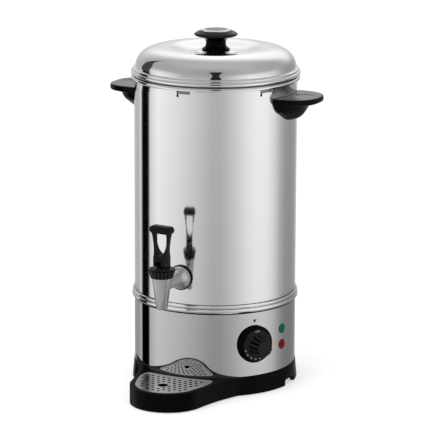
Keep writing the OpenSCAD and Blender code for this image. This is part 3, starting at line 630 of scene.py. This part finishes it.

# %% [markdown]
# ## Two finishes on one piece
# The cap of the knob gets a lighter, glossier plastic than its waist: painted sheen on the cap and painted
# shade on the waist. A second material on the same mesh shows this without cutting the piece in two: every
# face carries the number of its material, and a small test on its normal and place picks the faces that get
# the new one.

# %% Give the knob's cap its painted sheen
CAP_FOOT = 470.5


def second_finish(piece, material, chosen):
    """Gives the chosen faces of a piece a second material."""
    piece.data.materials.append(material)
    faces = [face for face in piece.data.polygons if chosen(face.normal, face.center)]
    for face in faces:
        face.material_index = len(piece.data.materials) - 1
    print(piece.name, "faces in", material.name + ":", len(faces))


# Painted sheen: the faces above CAP_FOOT get the lighter, glossier plastic, and the waist stays darker as
# painted shade.
second_finish(knob, plastic_grip, lambda normal, at: at.z > CAP_FOOT * MM)

# %% [markdown]
# ## Tap
# The tap body is one casting: a cone that holds the valve and a trumpet-shaped shank that meets the tank with
# a flange. Both are turned. The shank's axis lies level, and spin works best about an upright one, so the
# shank is turned upright at the origin and then laid over.

# %% Turn the tap's cone and shank
TAP_AXIS = (0, -168)
SHANK_Z = 162.6


def at_mm(x, y, z):
    """A move by millimetres."""
    return Matrix.Translation((x * MM, y * MM, z * MM))


cone_line = [(5, 134), (5.6, 133), (6.6, 133), (7.1, 133.2), (7.5, 133.8), (13.1, 173.6), (13.3, 174.8),
             (13.3, 175.8), (11.5, 175.8), (11.5, 181), (9.5, 181), (9.5, 150.5), (5, 146)]
cone = turned("tap_cone", cone_line, steel_satin, "satin_metal", "urn", 96, TAP_AXIS, 50)
shank_line = eased_line([(15.5, 112.6), (15.5, 113.4), (15, 114.1), (13.4, 115.2), (11.2, 119), (9.4, 124.5),
                         (8.4, 132), (7.9, 142), (7.7, 157.3)], 5)
shank_section = [(5.5, 88), (9, 88), (9, 112.6)] + shank_line + [(5.5, 157.3)]
shank = turned("tap_shank", shank_section, steel_satin, "satin_metal", "urn", 96, angle=50)
shank.matrix_world = at_mm(0, 0, SHANK_Z) @ Matrix.Rotation(pi / 2, 4, "X")
settle(shank)
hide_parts("tap_body")
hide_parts("tap_body")
print("tap faces:", len(cone.data.polygons) + len(shank.data.polygons))

# %% [markdown]
# The bonnet is screwed on by hand, so it has ribs. They are what is left between a ring of slanting grooves:
# one thin cylinder is laid along the cone of the bonnet, copied round it and cut away. The grooves get a
# darker plastic than the ribs as painted shade, since less light reaches them.

# %% Turn and flute the bonnet
RIBS, GROOVE_R, GROOVE_LEAN = 20, 1.15, 16
GROOVE_AT = (16.9, -168, 181.2)
RIB_FOOT, RIB_TOP, RIB_R, RIB_SLOPE = 176.7, 187.5, 15.0, 0.28


def fluted(piece, cutter, count, centre):
    """Cuts copies of a cutter round an upright axis."""
    cx, cy = centre
    row = []
    for k in range(count):
        copy = cutter.copy()
        copy.data = cutter.data.copy()
        bpy.context.collection.objects.link(copy)
        turn = Matrix.Rotation(2 * pi * k / count, 4, "Z")
        copy.matrix_world = at_mm(cx, cy, 0) @ turn @ at_mm(-cx, -cy, 0)
        settle(copy)
        row.append(copy)
    bpy.data.objects.remove(cutter)
    cut(piece, joined(row))
    smoothed(piece, 35)


def in_a_groove(normal, at):
    """Whether a face lies closer to the tap's axis than the bonnet's cone of ribs."""
    cone_r = RIB_R + RIB_SLOPE * (at.z / MM - RIB_FOOT)
    arm = at.xy / MM - Vector(TAP_AXIS)
    return RIB_FOOT - 0.2 < at.z / MM < RIB_TOP and arm.length < cone_r


bonnet_line = [(11.5, 181), (11.5, 175.8), (14.4, 175.8), (14.9, 176.1), (15.2, 176.7), (17.7, 185.6),
               (17.8, 186.3), (17.6, 187.1), (17.1, 187.7), (16.4, 188), (2.6, 188), (2.6, 181)]
bonnet = turned("tap_bonnet_ribbed", bonnet_line, plastic_rib, "black_plastic", "urn", 192, TAP_AXIS)
groove = begin("groove", bpy.ops.mesh.primitive_cylinder_add, vertices=20, radius=GROOVE_R * MM,
               depth=16 * MM)
groove.matrix_world = at_mm(*GROOVE_AT) @ Matrix.Rotation(radians(GROOVE_LEAN), 4, "Y")
settle(groove)
fluted(bonnet, groove, RIBS, TAP_AXIS)
# Painted shade: the faces in the grooves get the darker black plastic.
second_finish(bonnet, plastic_black, in_a_groove)
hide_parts("tap_bonnet")
print("ribs:", RIBS, "faces:", len(bonnet.data.polygons))

# %% [markdown]
# ## Moulded parts with eased edges
# A moulding tool never leaves a razor edge: a millimetre of radius catches a thin line of light and tells the
# eye that the part is plastic. The frame's own solids have the right shape but sharp edges, so each is
# copied, its loose triangles are merged, flat areas are joined again, and the sharp edges get a small bevel.
# The moulding's upward faces get a duller finish, because they are textured and lie open to the light.

# %% Copy a solid and ease its edges
def merged_copy(node, name):
    """A separate mesh with the shape of a solid of the frame, its triangles merged into faces."""
    piece = nodes[node].copy()
    piece.data = nodes[node].data.copy()
    piece.name = name
    bpy.context.collection.objects.link(piece)
    edit_all(piece)
    bpy.ops.mesh.remove_doubles(threshold=WELD)
    bpy.ops.mesh.dissolve_limited(angle_limit=radians(0.6))
    edit_done()
    return piece


def eased(node, width, material, slot, body, sharp=38, smooth=32, segments=3, reshape=None):
    """A copy of a solid whose edges sharper than sharp degrees get a bevel of some millimetres."""
    piece = merged_copy(node, node + "_eased")
    if reshape:
        reshape(piece)
    only(piece)
    modifier = piece.modifiers.new("ease", "BEVEL")
    modifier.width, modifier.segments = width * MM, segments
    modifier.limit_method, modifier.angle_limit = "ANGLE", radians(sharp)
    modifier.miter_outer = "MITER_ARC"
    bpy.ops.object.modifier_apply(modifier="ease")
    smoothed(piece, smooth)
    dress(piece, material, slot, body)
    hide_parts(node)
    return piece


moulding = eased("base_moulding", 0.7, plastic_black, "black_plastic", "urn")
eased("tap_lever", 1.1, plastic_lever, "black_plastic", "lever")
eased("power_inlet", 0.6, plastic_grip, "black_plastic", "urn")
UPWARDS = 0.5                           # a normal's height from which a face looks up
second_finish(moulding, plastic_deck, lambda normal, at: normal.z > UPWARDS)

# %% [markdown]
# The flange of the tap presses a round rubber seal against the tank. The seal is an eased copy as well, drawn
# in a little about the shank's axis, so that only a thin black line of it shows round the flange.

# %% Ease and draw in the flange seal
SEAL_SHARE = 0.965

flange_seal = eased("tap_seal", 0.4, plastic_black, "black_rubber", "urn")
edit_all(flange_seal)
bpy.ops.transform.resize(value=(SEAL_SHARE, 1, SEAL_SHARE), center_override=(0, -0.111, SHANK_Z * MM))
edit_done()
print("width of the seal in mm:", round(flange_seal.dimensions.x / MM, 2))

# %% [markdown]
# ## Drip grid
# The drip grid is punched sheet. The punch drags the rim of each hole down a little, so the holes look wider
# from above than they are. The holes lie on a staggered lattice: a place is turned into the lattice's own
# steps, and rounding these gives the centre of the nearest hole.

# %% Find the nearest hole of the grid
LATTICE_TURN, LATTICE_FOOT = radians(25.5), Vector((6.9, -143.8))
COLUMN_GAP, HOLE_PITCH, HOLE_R, FINGER_R = 7.16, 9.6, 1.75, 6.5
NOSE, FINGER, BACK = Vector((0, -150)), Vector((-4, -157)), Vector((0, 104.5))
NOSE_REACH, BACK_REACH, FINGER_REACH = 35.1, 225.2, 10.7
column_way = Vector((cos(LATTICE_TURN), sin(LATTICE_TURN)))
row_way = Vector((sin(LATTICE_TURN), -cos(LATTICE_TURN)))


def hole_near(at):
    """The centre and radius in millimetres of the hole at a place, or None where the sheet is whole."""
    spot = Vector((at.x, at.y)) / MM
    if (spot - FINGER).length < FINGER_R + 2:
        return FINGER, FINGER_R
    column = round((spot - LATTICE_FOOT).dot(column_way) / COLUMN_GAP)
    row = round((spot - LATTICE_FOOT).dot(row_way) / HOLE_PITCH - column / 2)
    centre = LATTICE_FOOT + COLUMN_GAP * column * column_way + HOLE_PITCH * (row + column / 2) * row_way
    in_front = (centre - NOSE).length < NOSE_REACH
    at_back = centre.y > -154 and abs(centre.x) < 41.6 + (centre.y + 130) / 8
    clear = (centre - BACK).length > BACK_REACH and (centre - FINGER).length > FINGER_REACH
    return (centre, HOLE_R) if clear and (in_front or at_back) else None


print("hole nearest to the tip of the nose:", hole_near(Vector((0, -0.17))))

# %% [markdown]
# With the nearest hole known, the points of its upper rim are moved outwards before the bevel. The walls of
# the holes get a black material as painted shade, since the well below them is black and takes up what little
# light enters.

# %% Widen the rims of the drain holes
PLATE_TOP, WALL_TOP, RIM_DRAG = 25.3, 25.6, 0.4
FLAT = 0.97                             # a normal's height above which a face lies flat


def countersink(piece):
    """Moves the upper rim of every hole outwards."""
    moved = 0
    for vertex in piece.data.vertices:
        hole = hole_near(vertex.co)
        if hole and abs(vertex.co.z / MM - PLATE_TOP) < 0.05:
            arm = vertex.co.xy / MM - hole[0]
            if abs(arm.length - hole[1]) < 0.1:
                vertex.co.xy += arm.normalized() * RIM_DRAG * MM
                moved += 1
    print("rim points moved:", moved)


def in_a_hole(normal, at):
    """Whether a face belongs to the wall of a hole."""
    hole = hole_near(at)
    steep = normal.z <= FLAT
    return bool(hole) and steep and at.z < WALL_TOP * MM and (at.xy / MM - hole[0]).length < hole[1] + 0.75


grid = eased("drip_grid", 0.25, steel_grid, "satin_metal", "grid", 40, 12, 2, countersink)
# Painted shade: the walls of the holes get a black material.
second_finish(grid, hole_painted_shade, in_a_hole)

# %% [markdown]
# ## Handles
# The handles are one soft lump each, with a grip that flows into a deep cup. A bevel can't round the creases
# where several curves meet, so the copy is remeshed into small even squares, and a smooth modifier then melts
# every crease a little, as the flow of the plastic does. The cup is melted much longer than the thin grip,
# which a vertex group keeps out. The upward faces of the grip get a lighter, glossier plastic as painted
# sheen.

# %% Soften the handles
CELL, ROUNDS, CUP_ROUNDS = 0.8, 50, 220
CUP_TOP, CUP_INNER = 0.3895, 0.1112     # metres; the cup lies below the one and outside the other
GRIP_TOP = 0.45                         # a normal's height from which a face belongs to the grip's top


def melt(piece, rounds, group=""):
    """Smooths a mesh, or only the vertices of one of its groups."""
    only(piece)
    smooth = piece.modifiers.new("melt", "SMOOTH")
    smooth.factor, smooth.iterations, smooth.vertex_group = 0.5, rounds, group
    bpy.ops.object.modifier_apply(modifier="melt")


def softened(node, material, slot, body):
    """A copy of a solid whose edges and creases are all melted."""
    piece = merged_copy(node, node + "_soft")
    remesh = piece.modifiers.new("even", "REMESH")
    remesh.mode, remesh.voxel_size = "VOXEL", CELL * MM
    bpy.ops.object.modifier_apply(modifier="even")
    melt(piece, ROUNDS)
    smoothed(piece, 60)
    dress(piece, material, slot, body)
    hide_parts(node)
    return piece


for side in ("right", "left"):
    handle = softened("handle_" + side, plastic_black, "black_plastic", "urn")
    cup = handle.vertex_groups.new(name="cup")
    in_cup = [v.index for v in handle.data.vertices if v.co.z < CUP_TOP and v.co.xy.length > CUP_INNER]
    cup.add(in_cup, 1, "REPLACE")
    melt(handle, CUP_ROUNDS, "cup")
    handle.vertex_groups.clear()
    # Painted sheen: the upward faces get the lighter, glossier plastic.
    second_finish(handle, handle_top_painted_sheen, lambda normal, at: normal.z > GRIP_TOP)

# %% [markdown]
# ## Dial
# The dial is a disc with a sloping rim and a tapered grip with finger flutes. It is turned upright at the
# origin, where its axis is the spin axis, fluted there, and then carried to its place on the shell. Its
# sloping rim and the floors of the flutes get a darker plastic as painted shade, and the face of the grip
# gets a lighter plastic.

# %% Turn and flute the dial
DIAL_AZ, DIAL_Z, DIAL_BACK = 53.5, 70.0, 111.6
FLUTES, FLUTE_R, FLUTE_LEAN = 12, 2.1, -7
FLUTE_AT = (14.4, 0, 8.6)
SLOPE_TOP, FACE_FOOT = 5.8, 26.9        # the end of the sloping rim, and the start of the grip's face
GRIP_FOOT, GRIP_R, GRIP_TAPER = 8.4, 12.8, 0.118


def wall_frame(az, z, r):
    """Where +X points right, +Y up and +Z outwards on the wall, seen from outside."""
    return Matrix.Rotation(radians(az), 4, "Z") @ at_mm(0, -r, z) @ Matrix.Rotation(pi / 2, 4, "X")


def in_the_shade(normal, at):
    """Whether a face belongs to the dial's sloping rim or to the floor of a flute."""
    z, r = at.z / MM, at.xy.length / MM
    return z < SLOPE_TOP or (8 < z < 25.5 and r < GRIP_R - GRIP_TAPER * (z - GRIP_FOOT))


dial_line = [(0, 0), (25.2, 0), (25.5, 0.3), (25.4, 1.4), (24.7, 2.8), (22.4, 5), (21.8, 5.6), (21.1, 6),
             (16.2, 6.8), (14.7, 7.3), (13.9, 8.4), (12.9, 16), (11.8, 25), (11.4, 26.2), (10.4, 27), (0, 27)]
dial = turned("dial_turned", dial_line, plastic_dial, "black_plastic", "dial", 192, angle=40)
flute = begin("flute", bpy.ops.mesh.primitive_cylinder_add, vertices=24, radius=FLUTE_R * MM, depth=30 * MM)
flute.matrix_world = at_mm(*FLUTE_AT) @ Matrix.Rotation(radians(FLUTE_LEAN), 4, "Y") @ at_mm(0, 0, 15)
settle(flute)
fluted(dial, flute, FLUTES, (0, 0))
# Painted shade: the sloping rim and the floors of the flutes get the darker deck plastic.
second_finish(dial, plastic_deck, in_the_shade)
second_finish(dial, plastic_rib, lambda normal, at: at.z > FACE_FOOT * MM)
dial.matrix_world = wall_frame(DIAL_AZ, DIAL_Z, DIAL_BACK)
settle(dial)
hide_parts("thermostat_dial")
print("dial faces with", FLUTES, "flutes:", len(dial.data.polygons))

# %% [markdown]
# ## Dial marks
# The dial carries OFF at the top and temperatures that run round its rim. On a real dial they are printed.
# Here text is turned into a thin mesh and laid on the sloping face. It rides with the dial, so that the
# figures turn when the dial turns.

# %% Write the figures on the dial
MARK_AT, MARK_SLOPE, MARK_THICK = (0, 18.9, 6.5), -7.2, 0.06
FIRST_MARK, MARK_STEP = 108, 21         # degrees round the dial


def dial_word(word, turn, size):
    """A word on the dial's face, its foot towards the rim when read from outside."""
    text = begin("dial_mark_" + word, bpy.ops.object.text_add)
    text.data.body = word
    text.data.size = size * MM
    text.data.extrude = MARK_THICK * MM
    text.data.align_x, text.data.align_y = "CENTER", "CENTER"
    bpy.ops.object.convert(target="MESH")
    text = bpy.context.object
    on_face = at_mm(*MARK_AT) @ Matrix.Rotation(radians(MARK_SLOPE), 4, "X")
    round_dial = Matrix.Rotation(radians(turn), 4, "Z")
    text.matrix_world = wall_frame(DIAL_AZ, DIAL_Z, DIAL_BACK) @ round_dial @ on_face
    settle(text)
    dress(text, ink_white, "black_plastic", "dial")
    return text


marks = [dial_word("OFF", 0, 3.8)]
for k, warmth in enumerate(range(30, 101, 10)):
    marks.append(dial_word(str(warmth), FIRST_MARK + MARK_STEP * k, 3.2))
print("marks on the dial:", len(marks))

# %% [markdown]
# The mark that the dial is read against is a small maroon triangle on the shell. A three-sided circle makes
# it, pointing down, thin enough to look printed.

# %% Place the pointer on the shell
POINTER_Z, POINTER_R, POINTER_THICK = 102.2, 3.2, 0.2
POINTER_BACK = 109.96                   # just inside the shell's face, so that no gap shows

pointer = begin("dial_pointer", bpy.ops.mesh.primitive_circle_add, vertices=3, radius=POINTER_R * MM,
                fill_type="NGON")
edit_all(pointer)
bpy.ops.transform.rotate(value=pi, orient_axis="Z", center_override=(0, 0, 0))
pull(0, 0, POINTER_THICK)
face_outwards()
edit_done()
pointer.matrix_world = wall_frame(DIAL_AZ, POINTER_Z, POINTER_BACK)
settle(pointer)
dress(pointer, ink_maroon, "red_button", "urn")
print("pointer height in mm:", POINTER_Z)

# %% [markdown]
# ## Lamps
# Each lamp shows a cut lens: a low dome with flat facets that flash as one walks past. A circle with eight
# sides is pulled out in three steps and narrowed in the last two, which gives the facets. Those that look
# sideways get a darker glass as painted shade.

# %% Cut the lenses
LAMP_AZ, LENS_R, LENS_TURN, LENS_BACK = 80, 7.0, 12, 110.02
SIDEWAYS = 0.6                          # how little of a side facet's normal points outwards
LENS_STEPS = ((1.0, 0.4), (0.86, 0.9), (0.45, 1.0))
LAMPS = (("green", 82.4, lens_green), ("red", 60.6, lens_red))


def cut_lens(colour, z, material):
    """An eight-sided lens on the wall."""
    piece = begin("lamp_lens_" + colour, bpy.ops.mesh.primitive_circle_add, vertices=8, radius=LENS_R * MM,
                  fill_type="NGON")
    edit_all(piece)
    for shrink, rise in LENS_STEPS:
        pull(0, 0, rise)
        bpy.ops.transform.resize(value=(shrink, shrink, 1))
    face_outwards()
    bpy.ops.mesh.bevel(offset=0.12 * MM, segments=1)
    edit_done()
    piece.matrix_world = wall_frame(LAMP_AZ, z, LENS_BACK) @ Matrix.Rotation(radians(LENS_TURN), 4, "Z")
    settle(piece)
    dress(piece, material, colour + "_lens", "urn")
    outwards = wall_frame(LAMP_AZ, z, TANK_R).col[2].xyz
    # Painted shade: the facets that look sideways get the darker lens material.
    second_finish(piece, lens_painted_shade, lambda normal, at: normal.dot(outwards) < SIDEWAYS)


for lamp in LAMPS:
    cut_lens(*lamp)

# %% [markdown]
# The frame's own lamp carries a plain round lens. A copy of it is cut off flat just outside the wall with
# bisect, which fills the cut, and the cut lens takes over from there. What is left still shows inside the
# shell.

# %% Cut the lamp bodies off at the wall
LAMP_CUT_R = 110.4


def lamp_body(colour, z, material):
    """The frame's lamp without its own lens."""
    node = "lamp_" + colour
    piece = merged_copy(node, "lamp_body_" + colour)
    out = wall_frame(LAMP_AZ, z, LAMP_CUT_R)
    edit_all(piece)
    bpy.ops.mesh.bisect(plane_co=out.translation, plane_no=out.col[2].xyz, use_fill=True, clear_outer=True)
    edit_done()
    smoothed(piece, 30)
    dress(piece, material, colour + "_lens", "urn")
    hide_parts(node)


for lamp in LAMPS:
    lamp_body(*lamp)

# %% [markdown]
# ## The solids that stay as they are
# Screws, washers, wires and the heater are seen only when something is lifted off or from below. Their frame
# solids are right as they are, so they keep their meshes and get the finish of what they are made of.

# %% Dress the carried-over solids
finish_of = {
    zinc: ("bottom_plate", "bottom_screws", "tie_rods", "tie_nuts", "knob_screw", "handle_screws",
           "tap_spring", "thermostat_screws", "inlet_screws"),
    rubber: ("rubber_feet", "inlet_gasket"),
    silicone: ("knob_washer", "handle_washers", "tap_inner_washer", "seat_cup"),
    nylon: ("thermostat_body", "lamp_clips", "terminal_block"),
    steel_satin: ("tap_nut",),
    steel_rod: ("thermostat_spindle",),
    steel_dark: ("lever_pin",),
    # The stem is black plastic, which also keeps the slot in the lever dark: partly painted shade.
    plastic_black: ("tap_stem",),
    copper: ("thermostat_sensor", "cutout_sensor"),
    aluminium: ("heat_plate",),
    sheath: ("heating_element",),
    phenolic: ("cutout_body",),
    button_red: ("reset_button",),
    brass: ("earth_stud", "inlet_pins"),
    jackets["brown_wire"]: ("wire_live",),
    jackets["black_wire"]: ("wire_switched",),
    jackets["blue_wire"]: ("wire_neutral",),
    jackets["green_wire"]: ("wire_earth",),
}
for material, names in finish_of.items():
    for name in names:
        nodes[name].data.materials.clear()
        nodes[name].data.materials.append(material)
print("carried-over solids dressed:", sum(len(names) for names in finish_of.values()))

# %% [markdown]
# ## Studio
# Steel has no colour of its own: it shows the room. In a studio the room is built from cards. Here a ring of
# cards stands close round the urn and only glossy rays see it. Its brightness runs round with the azimuth:
# broad soft white at both sides of the camera, a black strip at the far left for a crisp edge, grey at the
# right. The lower part, which the base shell mirrors, is darker than the rest.

# %% Write the ring of cards
RING_R, RING_TALL, RING_MID = 0.21, 0.5, 0.17
SHELL_LEVEL, TANK_LEVEL, LEVEL_RISE = 0.61, 0.89, 0.35
SHELL_END, TANK_START = 0.083, 0.1      # metres; the ring brightens between these heights
CARDS = [(-180, 0.76), (-142, 0.74), (-130, 0.58), (-112, 0.5), (-105, 0.72), (-101, 0.72), (-99.6, 0.0),
         (-83.4, 0.0), (-82.0, 0.74), (-68, 1.0), (-54, 0.92), (-38, 0.82), (-20, 0.66), (-4, 0.51),
         (6, 0.51), (20, 0.68), (34, 0.9), (46, 1.0), (58, 0.98), (68, 0.82), (80, 0.5), (90, 0.36),
         (104, 0.33), (121, 0.38), (136, 0.68), (180, 0.76)]


def turn_and_height(tree, where):
    """The azimuth of a place or direction, counted from the camera towards the right, and its height."""
    x = place(tree, "ShaderNodeSeparateXYZ", None, {0: where})
    turn = x.math("ARCTAN2", -1.0 * x.sibling("Y")) / pi * 180 - CAMERA_TURN
    turn = turn - 360 * turn.math("GREATER_THAN", 180) + 360 * turn.math("LESS_THAN", -180)
    return turn, x.sibling("Z")


def round_ramp(tree, turn, stops):
    """A brightness that runs with the azimuth."""
    return place(tree, "ShaderNodeValToRGB", {"stops": [((a + 180) / 360, grey(v)) for a, v in stops]},
                 {0: (turn + 180) / 360})


def ease(tree, value, low, high, start=0.0, end=1.0):
    """A soft step: start below low, end above high."""
    return place(tree, "ShaderNodeMapRange", {"interpolation_type": "SMOOTHSTEP"},
                 {"Value": value, "From Min": low, "From Max": high, "To Min": start, "To Max": end})


def glossy_only(piece, material):
    """Makes a piece a card of the studio that nothing but reflections can see."""
    settle(piece)
    piece.data.materials.append(material)
    piece.visible_camera = piece.visible_diffuse = piece.visible_transmission = piece.visible_shadow = False
    piece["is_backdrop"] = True


cards = Finish("reflection_cards")
turn, height = turn_and_height(cards.tree, cards.where)
level = ease(cards.tree, height, SHELL_END, TANK_START, SHELL_LEVEL, TANK_LEVEL) + LEVEL_RISE * height
ring_of_cards = begin("ring_of_cards", bpy.ops.mesh.primitive_cylinder_add, vertices=180, radius=RING_R,
                      depth=RING_TALL, end_fill_type="NOTHING", location=(0, 0, RING_MID))
glossy_only(ring_of_cards, cards.glow(round_ramp(cards.tree, turn, CARDS), level))
print("stops on the ring:", len(CARDS))

# %% [markdown]
# A small black card in front of the lid gives the dome one dark accent below its highlight. The plane is
# subdivided once and drawn in at its middle, so that the accent has a waist and doesn't look like a box.

# %% Hang the black card
CARD_WIDE, CARD_TALL = 0.05, 0.11
CARD_PLACE = (0, -0.205, 0.462)
BELOW, MIDDLE, ABOVE = 0.9, 0.5, 1.1    # shares of the width

card = begin("black_card", bpy.ops.mesh.primitive_plane_add, size=1)
card.scale = (CARD_WIDE, CARD_TALL, 1)
settle(card)
edit_all(card)
bpy.ops.mesh.subdivide(number_cuts=1)
edit_done()
for vertex in card.data.vertices:
    vertex.co.x *= MIDDLE if abs(vertex.co.y) < 0.01 else BELOW if vertex.co.y < 0 else ABOVE
card.matrix_world = (Matrix.Rotation(radians(CAMERA_TURN), 4, "Z") @ Matrix.Translation(CARD_PLACE)
                     @ Matrix.Rotation(pi / 2, 4, "X"))
glossy_only(card, Finish("black_card").glow(grey(0.02)))
print("points of the black card:", len(card.data.vertices))

# %% [markdown]
# At the left, the foot of the base shell mirrors the dark edge of the table. A low curved skirt gives that: a
# circle is pulled upwards, and the faces outside the wanted angles are deleted. Its ends fade into the
# floor's grey, so that no hard corner shows in the steel.

# %% Stand up the black skirt
SKIRT_R, SKIRT_FOOT, SKIRT_TALL = 0.16, -0.06, 69
SKIRT = [(-118, 0.36), (-110, 0.02), (-82, 0.02), (-66, 0.62)]

skirt = begin("black_skirt", bpy.ops.mesh.primitive_circle_add, vertices=144, radius=SKIRT_R,
              location=(0, 0, SKIRT_FOOT))
edit_all(skirt)
pull(0, 0, SKIRT_TALL)
edit_done()
for face in skirt.data.polygons:
    at = face.center
    face.select = not SKIRT[0][0] < degrees(atan2(at.x, -at.y)) - CAMERA_TURN < SKIRT[-1][0]
bpy.ops.object.mode_set(mode="EDIT")
bpy.ops.mesh.delete(type="FACE")
edit_done()
skirt_card = Finish("skirt_card")
turn = turn_and_height(skirt_card.tree, skirt_card.where)[0]
glossy_only(skirt, skirt_card.glow(round_ramp(skirt_card.tree, turn, SKIRT)))
print("faces of the skirt:", len(skirt.data.polygons))

# %% [markdown]
# The floor is pale paper. Its own light is added for the camera alone, so that it shows nearly white and
# still keeps the urn's soft shadow. Steel doesn't see it, because the cards are all that the steel should
# mirror.

# %% Lay the floor
floor_finish = Finish("studio_floor")
is_camera = floor_finish.node("ShaderNodeLightPath").sibling("Is Camera Ray")
paper = floor_finish.node("ShaderNodeBsdfDiffuse", None, {"Color": grey(0.8)})
lift = floor_finish.node("ShaderNodeEmission", None, {"Color": grey(1), "Strength": 0.45 * is_camera})
floor_finish.show(floor_finish.node("ShaderNodeAddShader", None, {0: paper, 1: lift}))
floor = begin("studio_floor", bpy.ops.mesh.primitive_plane_add, size=80, location=(0, 0, 0))
floor.data.materials.append(floor_finish.material)
floor.visible_glossy = False
floor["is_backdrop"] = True
print("floor size in metres:", floor.dimensions.x)

# %% [markdown]
# Above the ring, steel sees the sky of the studio. Low down it goes on like the ring; higher up it is an even
# grey with one broad bright window behind the urn, and the black strip goes on upwards as a bent flag. The
# camera itself sees plain white there, and dull surfaces are lit by an even pale grey.

# %% Paint the sky
CEILING, FLAG, AMBIENT = 0.52, 0.06, 0.8
TO_WINDOW, TO_CEILING, FLAG_END = (0.06, 0.42), (0.62, 1.0), (0.72, 0.78)   # heights of a direction
FLAG_LEFT, FLAG_RIGHT = (-132, -130), (-109, -107)
BEND_RISE, BEND = (0.25, 0.78), 22.0    # the flag's right side bends by so many degrees
SKY_LOW = [(-180, 0.74), (-160, 0.57), (-136, 0.5), (-128, 0.7), (-104, 0.76), (-88, 0.98), (-60, 0.7),
           (-45, 0.5), (-8, 0.45), (8, 0.45), (30, 0.75), (50, 0.98), (72, 0.9), (92, 0.72), (108, 0.42),
           (124, 0.34), (150, 0.4), (168, 0.68), (180, 0.74)]
SKY_HIGH = [(-180, 1.2), (-170, 1.05), (-158, 0.74), (-142, 0.52), (-110, 0.44), (-50, 0.44), (0, 0.36),
            (50, 0.5), (100, 0.44), (122, 0.44), (136, 0.62), (150, 1.0), (164, 1.12), (180, 1.2)]

world = bpy.data.worlds.new("studio")
bpy.context.scene.world = world
world.use_nodes = True
tree = world.node_tree
tree.nodes.clear()
sky_out = tree.nodes.new("ShaderNodeOutputWorld")
turn, height = turn_and_height(tree, place(tree, "ShaderNodeTexCoord", output="Generated"))
sides = mixed(tree, ease(tree, height, *TO_WINDOW), round_ramp(tree, turn, SKY_LOW),
              round_ramp(tree, turn, SKY_HIGH))
overhead = mixed(tree, ease(tree, height, *TO_CEILING), sides, grey(CEILING))
bent = turn + ease(tree, height, *BEND_RISE, 0.0, BEND)
strip = (ease(tree, turn, *FLAG_LEFT) * ease(tree, bent, *FLAG_RIGHT, 1.0, 0.0)
         * ease(tree, height, *FLAG_END, 1.0, 0.0))
mirrored = mixed(tree, strip, overhead, grey(FLAG))
rays = place(tree, "ShaderNodeLightPath")
plain = mixed(tree, rays.sibling("Is Camera Ray"), grey(AMBIENT), grey(1.0))
sky = mixed(tree, rays.sibling("Is Glossy Ray"), plain, mirrored)
light = place(tree, "ShaderNodeBackground", None, {"Color": sky, "Strength": 1.0})
tree.links.new(light.socket, sky_out.inputs["Surface"])
print("nodes in the sky:", len(tree.nodes))

# %% [markdown]
# One large soft lamp from the upper left shapes the dull parts and lays a faint shadow. It is kept out of the
# reflections, which belong to the cards.

# %% Light the studio
LAMP_PLACE, LAMP_AIM = Vector((-0.6, -1.5, 1.9)), Vector((0, 0, 0.25))

key = bpy.data.objects.new("key_lamp", bpy.data.lights.new("key_lamp", "AREA"))
bpy.context.collection.objects.link(key)
key.data.shape, key.data.size, key.data.energy = "DISK", 1.2, 10
key.matrix_world = looking(LAMP_PLACE, LAMP_AIM)
key.visible_camera = key.visible_glossy = False
print("lamp distance in metres:", round((LAMP_AIM - LAMP_PLACE).length, 2))

# %% [markdown]
# ## Finish
# Both boxes, of the frame and of the dressed model, are printed for comparison. The visual model
# must stay the size of the frame.

# %% Print the sizes and finish
dressed_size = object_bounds()


def plain_list(value):
    return [plain_list(v) for v in value] if hasattr(value, "__len__") else float(value)


{"frame": plain_list(frame_size), "dressed": plain_list(dressed_size)}
print("frame:", frame_size, "dressed:", dressed_size)
